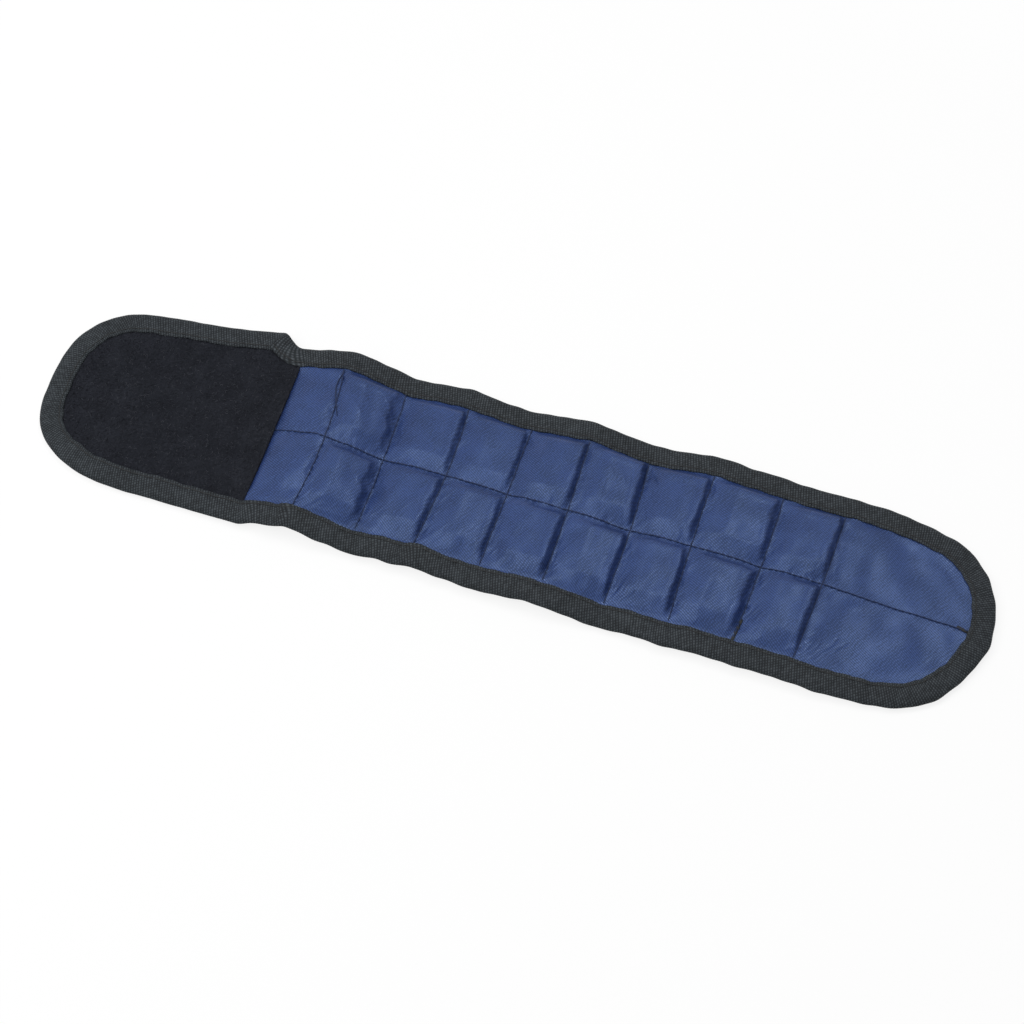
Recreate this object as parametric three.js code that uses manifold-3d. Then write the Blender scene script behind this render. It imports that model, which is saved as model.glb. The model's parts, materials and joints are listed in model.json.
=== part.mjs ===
// A magnetic wristband, lying flat with its blue face up. Millimetres. +X runs from the loop tab to
// the rounded tongue, +Y across the strap and +Z up. The strap is cut at its cross seams into short
// panels that hinge on each other: the tab, a stub, the columns of magnet pockets and the tongue.
import * as THREE from 'three';
import { mergeVertices } from 'three/addons/utils/BufferGeometryUtils.js';
import Module from 'manifold-3d';

// Lengths along the strap, from seam to seam
const TAB_LENGTH = 83;
const STUB_LENGTH = 18;
const COLUMN_PITCH = 23;
const COLUMN_COUNT = 8;
const TONGUE_LENGTH = 61;

// Widths across the strap
const CLOTH_WIDTH = 58;
const TAPE_FACE = 8.5;
const TAB_FLARE = 2;

// Plan shape of the two ends
const TAB_TAPER = THREE.MathUtils.degToRad(4.5);
const TAB_SKEW = THREE.MathUtils.degToRad(4);
const TAB_CORNER_RADIUS = 26;
const TAB_TIP_TURN = THREE.MathUtils.degToRad(27);
const TONGUE_CORNER_RADIUS = 33;
const TONGUE_TIP_TURN = THREE.MathUtils.degToRad(30);
const CORNER_STEPS = 7;
const TIP_STEPS = 4;

// Thicknesses of the layers
const TAPE_THICKNESS = 0.7;
const TAPE_FOLD_BEVEL = 0.4;
const LINING_THICKNESS = 1;
const CLOTH_THICKNESS = 0.7;
const MAGNET_THICKNESS = 1.8;
const PILE_HEIGHT = 0.8;
const PILE_BEVEL = 0.4;

// Padded forms of the blue cloth
const PAD_SLOPE = 3.2;
const PAD_CROWN = 0.5;
const STUB_PUFF = 0.9;
const TONGUE_PUFF = 1.2;
const TONGUE_SLOPE = 6;
const SEAM_CHANNEL_WIDTH = 5;

// The strap lies in shallow folds: how far they raise the cloth beside the tab and beside each seam
const FOLD_RISES = [0.8, 6.5, 0.9, 3, 2.2, 4.2, 1.8, 4.2, 3.6, 4];

// Clearances
const SEAM_GAP = 0.8;
const EDGE_CLEARANCE = 0.3;
const MAGNET_CLEARANCE = 0.4;

// Places that follow from the sizes
const STRAP_LENGTH = TAB_LENGTH + STUB_LENGTH + COLUMN_COUNT * COLUMN_PITCH + TONGUE_LENGTH;
const JUNCTION_X = TAB_LENGTH - STRAP_LENGTH / 2;
const FIRST_SEAM_X = JUNCTION_X + STUB_LENGTH;
const LAST_SEAM_X = FIRST_SEAM_X + COLUMN_COUNT * COLUMN_PITCH;
const HALF_WIDTH = CLOTH_WIDTH / 2 + TAPE_FACE;
const EDGE_INSET = TAPE_THICKNESS + EDGE_CLEARANCE;
const PANEL_INSET = TAPE_FACE + EDGE_CLEARANCE;
const LINING_TOP = TAPE_THICKNESS + LINING_THICKNESS;
const CLOTH_TOP = LINING_TOP + CLOTH_THICKNESS;
const TAPE_TOP = CLOTH_TOP + TAPE_THICKNESS;
const PILE_TOP = CLOTH_TOP + PILE_HEIGHT;
const PAD_RISE = MAGNET_THICKNESS + MAGNET_CLEARANCE;

// Finishes
const finish = (color, roughness, metalness = 0) =>
  new THREE.MeshStandardMaterial({ color, roughness, metalness });
const BLUE_CLOTH = finish(0x31426f, 0.55);
const BLACK_LINING = finish(0x1f2124, 0.9);
const BLACK_TAPE = finish(0x303436, 0.85);
const LOOP_PILE = finish(0x24262d, 0.95);
const HOOK_PILE = finish(0x1c1d20, 0.8);
const MAGNET_STEEL = finish(0x9a9da1, 0.35, 0.9);

// A closed geometry from points and triangles, turned so that its faces point out
function closedGeometry(points, triangles) {
  const signedVolume = triangles.reduce((sum, [a, b, c]) => {
    const normal = new THREE.Vector3().crossVectors(points[b], points[c]);
    return sum + points[a].dot(normal) / 6;
  }, 0);
  const facing = signedVolume > 0 ? triangles : triangles.map(([a, b, c]) => [a, c, b]);
  const geometry = new THREE.BufferGeometry().setFromPoints(points);
  geometry.setIndex(facing.flat());
  return geometry;
}

// Rows of points joined into walls; a closed row also joins its last point to its first
function wallTriangles(rowCount, rowLength, closedRow) {
  const triangles = [];
  const spans = closedRow ? rowLength : rowLength - 1;
  for (let row = 0; row + 1 < rowCount; row += 1) {
    for (let place = 0; place < spans; place += 1) {
      const next = (place + 1) % rowLength;
      const a = row * rowLength + place;
      const b = row * rowLength + next;
      const c = a + rowLength;
      const d = b + rowLength;
      triangles.push([a, b, d], [a, d, c]);
    }
  }
  return triangles;
}

// Points of a flat outline, in counter-clockwise order
function counterClockwise(outline) {
  return THREE.ShapeUtils.isClockWise(outline) ? outline.toReversed() : outline;
}

// A flat plate whose edge steps in and out: each level is an inset from the outline and a height
function layeredPlate(outline, levels) {
  const rings = levels.map(({ inset }) => counterClockwise(outline(inset)));
  const points = rings.flatMap((ring, level) => ring.map((p) => new THREE.Vector3(p.x, p.y, levels[level].z)));
  const triangles = wallTriangles(rings.length, rings[0].length, true);
  const topStart = points.length - rings[0].length;
  THREE.ShapeUtils.triangulateShape(rings[0], []).forEach(([a, b, c]) => triangles.push([a, c, b]));
  THREE.ShapeUtils.triangulateShape(rings.at(-1), []).forEach(([a, b, c]) =>
    triangles.push([topStart + a, topStart + b, topStart + c]));
  return closedGeometry(points, triangles);
}

// Binding tape folded over an edge: a U section of insets and heights, carried along the edge's line
function foldedTape(edgeLine) {
  const section = counterClockwise([
    [TAPE_FACE, 0], [TAPE_FOLD_BEVEL, 0], [0, TAPE_FOLD_BEVEL],
    [0, TAPE_TOP - TAPE_FOLD_BEVEL], [TAPE_FOLD_BEVEL, TAPE_TOP], [TAPE_FACE, TAPE_TOP],
    [TAPE_FACE, CLOTH_TOP], [TAPE_THICKNESS, CLOTH_TOP],
    [TAPE_THICKNESS, TAPE_THICKNESS], [TAPE_FACE, TAPE_THICKNESS],
  ].map(([inset, z]) => new THREE.Vector2(inset, z)));
  const lines = section.map(({ x, y }) => edgeLine(x).map((p) => new THREE.Vector3(p.x, p.y, y)));
  const points = lines[0].flatMap((_, station) => lines.map((line) => line[station]));
  const triangles = wallTriangles(lines[0].length, section.length, true);
  const lastStart = points.length - section.length;
  THREE.ShapeUtils.triangulateShape(section, []).forEach(([a, b, c]) =>
    triangles.push([a, c, b], [lastStart + a, lastStart + b, lastStart + c]));
  return closedGeometry(points, triangles);
}

// Points on an arc, its first point left out
function arcPoints(centre, radius, startAngle, endAngle, steps) {
  return Array.from({ length: steps }, (_, step) => {
    const angle = THREE.MathUtils.lerp(startAngle, endAngle, (step + 1) / steps);
    return new THREE.Vector2(centre.x + radius * Math.cos(angle), centre.y + radius * Math.sin(angle));
  });
}

// Outline of a strap end that tapers and closes in a corner arc, a tip arc and a corner arc.
// It starts on the root line, x = 0, at +Y and comes back to it at -Y.
function roundedEnd({ length, halfWidth, taper, cornerRadius, tipTurn }, inset) {
  const side = halfWidth * Math.cos(taper);
  const reach = Math.sin(taper + tipTurn);
  const tipRadius = (side - cornerRadius * (1 - reach) - length * Math.sin(taper)) / (reach - Math.sin(taper));
  const tipCentre = new THREE.Vector2(length - tipRadius, 0);
  const corner = new THREE.Vector2(Math.cos(tipTurn), Math.sin(tipTurn))
    .multiplyScalar(tipRadius - cornerRadius).add(tipCentre);
  const sideAngle = Math.PI / 2 - taper;
  const shoulder = new THREE.Vector2(Math.cos(sideAngle), Math.sin(sideAngle))
    .multiplyScalar(cornerRadius - inset).add(corner);
  const upper = [
    new THREE.Vector2(0, (side - inset) / Math.cos(taper)),
    shoulder,
    ...arcPoints(corner, cornerRadius - inset, sideAngle, tipTurn, CORNER_STEPS),
    ...arcPoints(tipCentre, tipRadius - inset, tipTurn, 0, TIP_STEPS),
  ];
  const lower = upper.slice(0, -1).reverse().map((p) => new THREE.Vector2(p.x, -p.y));
  return [...upper, ...lower];
}

// A strap panel's square outline, centred on its own origin; only its two long sides take the inset
function panelOutline(length, inset) {
  const half = HALF_WIDTH - inset;
  return [[-1, 1], [1, 1], [1, -1], [-1, -1]].map(([x, y]) => new THREE.Vector2((x * length) / 2, y * half));
}

// Rise of a sewn cloth from its seam (0) to the flat of the pad (1), over the width of its slope
function slopeRise(distance, slope) {
  return THREE.MathUtils.smoothstep(distance, 0, slope);
}

// Blue cloth sewn down at its two cross seams and along its middle, so that two pads stand up.
// It stands off the lining by the folds at its two seams, on a short wall beside them and the tape.
function paddedCloth(length, rise, [firstFold, secondFold]) {
  const steps = [0, 0.5, 1].map((share) => share * PAD_SLOPE);
  const xOuter = steps.map((step) => length / 2 - step);
  const xs = [...xOuter.map((x) => -x), 0, ...xOuter.reverse()];
  const half = CLOTH_WIDTH / 2;
  const yUpper = [...steps, half / 2, ...steps.map((step) => half - step).reverse(), HALF_WIDTH - EDGE_INSET];
  const ys = [...yUpper.map((y) => -y).reverse(), ...yUpper.slice(1)];
  const wallWidth = PAD_SLOPE / 2;
  const heightAt = (x, y, wallStart) => {
    const side = half - Math.abs(y);
    const across = Math.min(Math.abs(y), side);
    const along = length / 2 - Math.abs(x);
    const pad = slopeRise(across, PAD_SLOPE) * slopeRise(along, PAD_SLOPE);
    const crownAcross = slopeRise(across - PAD_SLOPE, half / 2 - PAD_SLOPE);
    const crownAlong = slopeRise(along - PAD_SLOPE, length / 2 - PAD_SLOPE);
    const wall = slopeRise(Math.min(side, along) - wallStart, wallWidth);
    const fold = THREE.MathUtils.lerp(firstFold, secondFold, x / length + 0.5);
    return CLOTH_TOP + rise * pad + fold * wall + PAD_CROWN * crownAcross * crownAlong;
  };
  const surface = (drop, wallStart) => xs.flatMap((x) => ys.map((y) =>
    new THREE.Vector3(x, y, heightAt(x, y, wallStart) - drop)));
  const points = [...surface(0, 0), ...surface(CLOTH_THICKNESS, wallWidth)];
  const under = xs.length * ys.length;
  const top = wallTriangles(xs.length, ys.length, false);
  const triangles = [...top, ...top.map(([a, b, c]) => [a + under, c + under, b + under])];
  const rim = [
    ...ys.keys(),
    ...Array.from(xs.keys(), (row) => row * ys.length + ys.length - 1).slice(1),
    ...Array.from(ys.keys(), (place) => (xs.length - 1) * ys.length + place).reverse().slice(1),
    ...Array.from(xs.keys(), (row) => row * ys.length).reverse().slice(1),
  ];
  for (let place = 0; place + 1 < rim.length; place += 1) {
    const [a, b] = [rim[place], rim[place + 1]];
    triangles.push([a, a + under, b], [b, a + under, b + under]);
  }
  return closedGeometry(points, triangles);
}

// Boolean cut of one closed geometry from another
const solids = await Module();
solids.setup();

function solidOf(geometry) {
  const bare = new THREE.BufferGeometry();
  bare.setAttribute('position', geometry.getAttribute('position'));
  bare.setIndex(geometry.getIndex());
  const merged = mergeVertices(bare);
  return new solids.Manifold(new solids.Mesh({
    numProp: 3,
    vertProperties: new Float32Array(merged.getAttribute('position').array),
    triVerts: new Uint32Array(merged.getIndex().array),
  }));
}

function cutFrom(geometry, cutter) {
  const mesh = solidOf(geometry).subtract(solidOf(cutter)).getMesh();
  const result = new THREE.BufferGeometry();
  result.setAttribute('position', new THREE.BufferAttribute(mesh.vertProperties, 3));
  result.setIndex(new THREE.BufferAttribute(mesh.triVerts, 1));
  return result;
}

// Scene graph: one group for each stiff panel of the strap
const wristband = new THREE.Group();

function addPanel(x) {
  const panel = new THREE.Group();
  panel.position.x = x;
  wristband.add(panel);
  return (name, geometry, material, y = 0) => {
    const mesh = new THREE.Mesh(geometry, material);
    mesh.name = name;
    mesh.position.y = y;
    panel.add(mesh);
  };
}

// Lining levels: the middle sinks between the tape's lower folds to the resting face
const LINING_LEVELS = [
  { inset: PANEL_INSET, z: 0 }, { inset: PANEL_INSET, z: TAPE_THICKNESS },
  { inset: EDGE_INSET, z: TAPE_THICKNESS }, { inset: EDGE_INSET, z: LINING_TOP },
];

// Loop tab: its outline is mirrored to point along -X and sheared by the skew
const TAB_END = {
  length: TAB_LENGTH - SEAM_GAP / 2,
  halfWidth: HALF_WIDTH + TAB_FLARE,
  taper: TAB_TAPER,
  cornerRadius: TAB_CORNER_RADIUS,
  tipTurn: TAB_TIP_TURN,
};
const tabOutline = (inset) => roundedEnd(TAB_END, inset)
  .map((p) => new THREE.Vector2(-p.x, p.y - p.x * Math.tan(TAB_SKEW)));

function buildTab() {
  const add = addPanel(JUNCTION_X - SEAM_GAP / 2);
  const pileLevels = [
    { inset: EDGE_INSET, z: LINING_TOP }, { inset: EDGE_INSET, z: CLOTH_TOP },
    { inset: PANEL_INSET, z: CLOTH_TOP }, { inset: PANEL_INSET, z: PILE_TOP - PILE_BEVEL },
    { inset: PANEL_INSET + PILE_BEVEL, z: PILE_TOP },
  ];
  add('tab_lining', layeredPlate(tabOutline, LINING_LEVELS), BLACK_LINING);
  add('loop_panel', layeredPlate(tabOutline, pileLevels), LOOP_PILE);
  add('tab_binding', foldedTape(tabOutline), BLACK_TAPE);
}

// The folds at the two ends of a panel, counted from the stub
function panelFolds(panel) {
  return [panel, panel + 1].map((line) => FOLD_RISES[line % FOLD_RISES.length]);
}

// A straight panel of the strap: lining below, blue cloth above and a folded tape along each side
function buildPanel(add, prefix, length, rise, folds) {
  const outline = (inset) => panelOutline(length, inset);
  const upperEdge = (inset) => outline(inset).slice(0, 2);
  const lowerEdge = (inset) => outline(inset).slice(2);
  add(`${prefix}_lining`, layeredPlate(outline, LINING_LEVELS), BLACK_LINING);
  add(`${prefix}_front`, paddedCloth(length, rise, folds), BLUE_CLOTH);
  add(`${prefix}_binding_upper`, foldedTape(upperEdge), BLACK_TAPE);
  add(`${prefix}_binding_lower`, foldedTape(lowerEdge), BLACK_TAPE);
}

function buildStub() {
  const add = addPanel(JUNCTION_X + STUB_LENGTH / 2);
  buildPanel(add, 'stub', STUB_LENGTH - SEAM_GAP, STUB_PUFF, panelFolds(0));
}

// A column of two pockets, each with its magnet lying on the lining
function buildColumn(column) {
  const add = addPanel(FIRST_SEAM_X + (column - 0.5) * COLUMN_PITCH);
  const length = COLUMN_PITCH - SEAM_GAP;
  const pocketWidth = CLOTH_WIDTH / 2;
  const margin = 2 * (PAD_SLOPE + MAGNET_CLEARANCE);
  const magnet = new THREE.BoxGeometry(length - margin, pocketWidth - margin, MAGNET_THICKNESS)
    .translate(0, 0, LINING_TOP + MAGNET_THICKNESS / 2);
  buildPanel(add, `column_${column}`, length, PAD_RISE, panelFolds(column));
  add(`column_${column}_magnet_upper`, magnet, MAGNET_STEEL, pocketWidth / 2);
  add(`column_${column}_magnet_lower`, magnet, MAGNET_STEEL, -pocketWidth / 2);
}

// Tongue: blue above, a hook patch below, one tape round its end
const TONGUE_END = {
  length: TONGUE_LENGTH - SEAM_GAP / 2,
  halfWidth: HALF_WIDTH,
  taper: 0,
  cornerRadius: TONGUE_CORNER_RADIUS,
  tipTurn: TONGUE_TIP_TURN,
};
const tongueOutline = (inset) => roundedEnd(TONGUE_END, inset);

// A sewn channel along X, a V cut no deeper than the cloth at its edge
function seamChannel(length) {
  const half = SEAM_CHANNEL_WIDTH / 2;
  const puffTop = CLOTH_TOP + TONGUE_PUFF;
  const section = new THREE.Shape([
    new THREE.Vector2(0, CLOTH_TOP),
    new THREE.Vector2(half, puffTop),
    new THREE.Vector2(half, puffTop + TONGUE_PUFF),
    new THREE.Vector2(-half, puffTop + TONGUE_PUFF),
    new THREE.Vector2(-half, puffTop),
  ]);
  return new THREE.ExtrudeGeometry(section, { depth: length, bevelEnabled: false })
    .translate(0, 0, -length / 2).rotateX(Math.PI / 2).rotateZ(Math.PI / 2);
}

function buildTongue() {
  const add = addPanel(LAST_SEAM_X + SEAM_GAP / 2);
  const crownLevels = [0, 0.5, 1].map((share) => ({
    inset: PANEL_INSET + share * TONGUE_SLOPE,
    z: CLOTH_TOP + TONGUE_PUFF * slopeRise(share, 1),
  }));
  const clothLevels = [
    { inset: EDGE_INSET, z: LINING_TOP }, { inset: EDGE_INSET, z: CLOTH_TOP }, ...crownLevels,
  ];
  const middleChannel = seamChannel(2 * TONGUE_LENGTH);
  const rootChannel = seamChannel(2 * HALF_WIDTH).rotateZ(Math.PI / 2);
  const cloth = cutFrom(cutFrom(layeredPlate(tongueOutline, clothLevels), middleChannel), rootChannel);
  const flatLining = LINING_LEVELS.slice(2);
  const hookLevels = LINING_LEVELS.slice(0, 2);
  add('tongue_lining', layeredPlate(tongueOutline, flatLining), BLACK_LINING);
  add('tongue_front', cloth, BLUE_CLOTH);
  add('hook_patch', layeredPlate(tongueOutline, hookLevels), HOOK_PILE);
  add('tongue_binding', foldedTape(tongueOutline), BLACK_TAPE);
}

buildTab();
buildStub();
for (let column = 1; column <= COLUMN_COUNT; column += 1) buildColumn(column);
buildTongue();

export default wristband;
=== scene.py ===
"""Looks of a magnetic wristband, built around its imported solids: blue padded cloth over magnets, a
ribbed binding tape folded over the edge, a loop panel on the tab and a hook patch under the tongue.
Lengths are in millimetres until a mesh is made, and MM turns them into metres."""
import json
import math

import bmesh
import bpy
import numpy as np
from mathutils import Matrix, Vector

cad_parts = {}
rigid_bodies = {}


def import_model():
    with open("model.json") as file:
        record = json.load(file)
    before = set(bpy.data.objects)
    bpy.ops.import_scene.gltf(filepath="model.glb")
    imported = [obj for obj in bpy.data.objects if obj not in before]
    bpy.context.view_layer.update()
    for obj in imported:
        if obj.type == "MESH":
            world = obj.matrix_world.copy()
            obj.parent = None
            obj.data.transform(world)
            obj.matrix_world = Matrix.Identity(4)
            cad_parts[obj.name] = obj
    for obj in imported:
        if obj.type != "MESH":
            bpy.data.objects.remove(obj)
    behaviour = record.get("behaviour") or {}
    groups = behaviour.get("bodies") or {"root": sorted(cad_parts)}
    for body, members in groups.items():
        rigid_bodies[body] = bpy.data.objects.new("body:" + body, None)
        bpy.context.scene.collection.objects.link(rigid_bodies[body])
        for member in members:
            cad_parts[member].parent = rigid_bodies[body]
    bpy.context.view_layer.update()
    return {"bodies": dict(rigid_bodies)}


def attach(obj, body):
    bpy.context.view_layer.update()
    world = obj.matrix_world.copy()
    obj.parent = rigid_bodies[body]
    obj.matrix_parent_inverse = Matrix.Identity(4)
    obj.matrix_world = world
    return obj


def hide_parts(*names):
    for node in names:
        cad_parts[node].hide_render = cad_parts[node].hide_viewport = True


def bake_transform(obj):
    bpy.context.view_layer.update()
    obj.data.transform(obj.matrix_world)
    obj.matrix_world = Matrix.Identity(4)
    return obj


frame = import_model()

MM = 0.001
TURN = 2 * math.pi
TINY = 1e-9

# Layout along the strap: the edge of the loop panel, then nine cross seams
JUNCTION_X = -90.0
FIRST_SEAM_X = -72.0
COLUMN_PITCH = 23.0
COLUMN_COUNT = 8
SEAM_X = [FIRST_SEAM_X + COLUMN_PITCH * k for k in range(COLUMN_COUNT + 1)]
HINGE_X = [JUNCTION_X, *SEAM_X]
SPLIT_X = [(a + b) / 2 for a, b in zip(HINGE_X, HINGE_X[1:])]
BODIES = ["tab", "stub", *(f"column_{k + 1}" for k in range(COLUMN_COUNT)), "tongue"]
LEFT_END_X = -173.5
RIGHT_END_X = 173.2

# Width of the blue cloth, face of the tape, and layers from the floor up
CLOTH_HALF_WIDTH = 29.0
TAPE_FACE = 8.4
TAPE_THICKNESS = 0.65
LINING_THICKNESS = 0.8
CLOTH_THICKNESS = 0.4
SEAM_TOP = 2.1
SLACK_DROP = 0.5
PAD_CROWN = 0.3
LOOP_TOP = 2.95

# Each column's pads rise slowly from the left seam and fall quickly to the right one
PAD_RISE = [9.0, 8.0, 9.5, 8.0, 9.5, 8.5, 9.0, 8.5]
PAD_FALL = [3.4, 1.3, 1.1, 1.2, 1.3, 1.4, 2.0, 1.3]
PAD_TOP = [5.4, 4.5, 4.6, 4.9, 5.1, 5.1, 5.3, 5.0]
PAD_TILT = [-0.08, 0.03, -0.02, 0.06, 0.04, 0.02, -0.04, 0.09]
SEAM_RISES = [0.4, 0.0, 0.9, 1.0, 0.9, 0.8, 0.9, 0.3, 0.8]
SEAM_RISE_REACH = 5.0
UPPER_PAD_NEAR = 6.5
LOWER_PAD_NEAR = 7.0
UPPER_PAD_FAR = 3.2
LOWER_PAD_FAR = 4.0
PAD_FOOT = 0.2
FLANK_RIPPLE = 0.2
RISE_BEND = 1.35
WALL_FOOT = 0.55
MIDDLE_SEAM_RISE = 1.7
MIDDLE_CROSSING_SHARE = 0.45
MIDDLE_SEAM_REACH = 6.0
MIDDLE_SEAM_FADE = 6.0
SEAM_RISE_END = 19.0
SEAM_RISE_FADE = 7.0
TAPE_SIDE_RISE = 0.9
TAPE_SIDE_START = 22.0
TAPE_SIDE_RUN = 6.0
STUB_BULGE = 2.0
TONGUE_RISE = 0.7
TONGUE_RISE_RUN = 10.0
LONG_RIPPLE = 0.32
LONG_RIPPLE_TURN = 2.1
SHORT_RIPPLE = 0.83
SHORT_RIPPLE_TURN = 1.3
SHORT_RIPPLE_SHARE = 0.6
COLUMN_FADE = 2.0
COLUMN_ARCH = 1.2

# How far each cross seam stands above the floor: the band lies in shallow folds, highest at its first seam
LIFT_X = [-173, -150, -118, JUNCTION_X, *SEAM_X, 140, 173]
UPPER_LIFT = [0, 0, 0.3, 2.0, 5.0, 0.0, 2.2, 0.6, 4.4, 0.4, 4.8, 3.4, 2.8, 1.0, 0.4]
MIDDLE_LIFT = [0, 0, 0.0, 0.6, 7.0, 1.0, 3.2, 2.6, 4.2, 2.2, 4.4, 3.8, 4.6, 2.0, 1.0]
LOWER_LIFT = [0, 0, 0.0, 0.8, 5.6, 1.2, 3.0, 2.0, 4.4, 0.4, 2.0, 2.2, 2.2, 0.8, 0.3]
LIFT_STEP = 0.5
LIFT_MARGIN = 20
FOLD_ROUNDING = 5.0

# How far each cross seam wanders from the even pitch, at the far tape, the middle seam and the near tape
UPPER_DRIFT = [-1.4, -0.7, -0.1, 0.6, -0.8, -1.7, -0.7, 1.6, 1.3]
MIDDLE_DRIFT = [2.0, 0.6, 1.2, 0.9, 0.4, 0.2, -0.7, 1.6, 0.6]
LOWER_DRIFT = [0.4, 0.6, -0.9, 0.4, 0.4, -0.4, 0.0, -0.1, -1.4]
DRIFT_X = [JUNCTION_X, *SEAM_X, 140]

# Plan of the outer edge, clockwise from the far side of the stub
FAR_EDGE = [(-81, 36.4), (-72, 37.6), (-60, 37.4), (-49, 36.6), (-38, 37.0), (-26, 37.4), (-13, 36.5),
            (-3, 36.6), (8, 37.2), (20, 37.3), (33, 36.9), (43, 36.9), (55, 37.1), (66, 37.6), (78, 37.0),
            (89, 37.0), (101, 36.8), (116, 37.3)]
TONGUE_EDGE = [(128, 37.4), (138, 36.6), (146.5, 35.2), (153.5, 33.0), (158.5, 30.6), (163, 27.0),
               (167.5, 21.5), (171.3, 13.5), (173.1, 5.0), (173.0, -3.5), (170.8, -11.0), (167.8, -18.0),
               (164, -24.0), (158.5, -29.8), (150.5, -34.3), (143, -36.3), (133, -37.6), (123, -38.1)]
NEAR_EDGE = [(116, -38.0), (101, -37.8), (88, -37.9), (77, -37.5), (66, -38.4), (52, -37.5), (43, -38.0),
             (23, -38.0), (8, -38.1), (-3, -38.4), (-14, -38.0), (-24.5, -37.3), (-31, -38.0), (-38, -37.7),
             (-47, -38.4), (-60, -38.0), (-71, -37.2), (-75, -38.0), (-84, -38.5), (-89, -39.4), (-96, -39.4)]
TAB_EDGE = [(-108, -39.3), (-121, -39.3), (-133, -39.4), (-144.5, -38.6), (-153.5, -36.4), (-163, -31.5),
            (-169, -25.4), (-172.3, -18.0), (-173.5, -9.0), (-173.5, 2.0), (-171.9, 12.0), (-168, 19.8),
            (-162, 26.0), (-155, 30.2), (-142.5, 32.8), (-127.5, 34.6), (-120, 35.6), (-110, 37.2),
            (-102.5, 38.6), (-99.3, 38.6), (-96, 36.4), (-92.5, 34.7), (-88.5, 35.2)]

CURVE_STEPS = 40

# Weave of the tape: slanting ribs, and a second row of yarns that crosses them
RIB_PITCH = 0.92
RIB_SLANT = math.radians(14)
RIB_HEIGHT = 0.05
SAMPLES_PER_RIB = 4
YARN_PITCH = 0.95
YARN_SLANT = math.radians(-60)

# Seams: needle holes fall on every few cells of the cloth's grid
STITCH_CELLS = 4
ALONG_STITCH_CELLS = 6
NEEDLE_STRAY = 0.13
THREAD_RADIUS = 0.24
STITCH_ARCH = 0.12
STITCH_STEPS = 5

# Loops of the loop panel and hooks of the hook patch
LOOP_SPACING = 0.5
LOOP_DENSITY = 3e6
LOOP_RADIUS = 0.42
FIBRE_RADIUS = 0.07
HOOK_RADIUS = 0.38
HOOK_WIRE_RADIUS = 0.1

random = np.random.default_rng(7)


def lift_rows():
    """Height of the folds along the far side, the middle and the near side, rounded at the seams."""
    x = np.arange(LEFT_END_X - LIFT_MARGIN, RIGHT_END_X + LIFT_MARGIN, LIFT_STEP)
    count = int(FOLD_ROUNDING / LIFT_STEP) * 2 + 1
    kernel = np.hanning(count + 2)[1:-1]
    kernel /= kernel.sum()
    rows = []
    for heights in (UPPER_LIFT, MIDDLE_LIFT, LOWER_LIFT):
        bent = np.interp(x, LIFT_X, heights)
        padded = np.pad(bent, count // 2, mode="edge")
        rows.append(np.convolve(padded, kernel, mode="valid"))
    return x, rows


LIFT_STATIONS, LIFT_ROWS = lift_rows()
DRIFT_ROWS = [[0, *row, 0] for row in (UPPER_DRIFT, MIDDLE_DRIFT, LOWER_DRIFT)]


def across_band(x, y, places, rows):
    """A value given along the far side, the middle and the near side, read at a place of the plan."""
    t = np.clip(np.asarray(y) / CLOTH_HALF_WIDTH, -1, 1)
    upper, middle, lower = (np.interp(x, places, row) for row in rows)
    return upper * t * (t + 1) / 2 + middle * (1 - t * t) + lower * t * (t - 1) / 2


def lift(x, y):
    """Height of the band's folds over the floor at a place of its plan."""
    return across_band(x, y, LIFT_STATIONS, LIFT_ROWS)


def drift(x, y):
    """How far the sewn cloth is shifted along the strap at a place of its plan."""
    return across_band(x, y, DRIFT_X, DRIFT_ROWS)


def smooth_loop(points, step):
    """A closed smooth line through the points, as evenly spaced samples and their inward directions."""
    p = np.array(points, float)
    count = len(p)
    ahead, behind = np.roll(p, -1, 0), np.roll(p, 1, 0)
    chord = np.linalg.norm(ahead - p, axis=1)
    slope = (ahead - behind) / (chord + np.roll(chord, 1))[:, None]
    t = np.linspace(0, 1, CURVE_STEPS, endpoint=False)[:, None]
    h00 = 2 * t**3 - 3 * t**2 + 1
    h10 = t**3 - 2 * t**2 + t
    h01 = 3 * t**2 - 2 * t**3
    h11 = t**3 - t**2
    line = np.concatenate([
        h00 * p[k] + h10 * chord[k] * slope[k] + h01 * ahead[k] + h11 * chord[k] * slope[(k + 1) % count]
        for k in range(count)
    ])
    closed = np.vstack([line, line[:1]])
    run = np.concatenate([[0], np.cumsum(np.linalg.norm(np.diff(closed, axis=0), axis=1))])
    samples = int(round(run[-1] / step / SAMPLES_PER_RIB)) * SAMPLES_PER_RIB
    along = np.linspace(0, run[-1], samples, endpoint=False)
    even = np.stack([np.interp(along, run, closed[:, axis]) for axis in range(2)], 1)
    tangent = np.roll(even, -2, 0) - np.roll(even, 2, 0)
    tangent /= np.linalg.norm(tangent, axis=1)[:, None]
    return even, np.stack([tangent[:, 1], -tangent[:, 0]], 1), along, run[-1]


EDGE, INWARD, EDGE_RUN, EDGE_LENGTH = smooth_loop(
    [*FAR_EDGE, *TONGUE_EDGE, *NEAR_EDGE, *TAB_EDGE], RIB_PITCH / SAMPLES_PER_RIB)
EDGE_COUNT = len(EDGE)
COARSE_EDGE, COARSE_INWARD = EDGE[::SAMPLES_PER_RIB], INWARD[::SAMPLES_PER_RIB]


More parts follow.
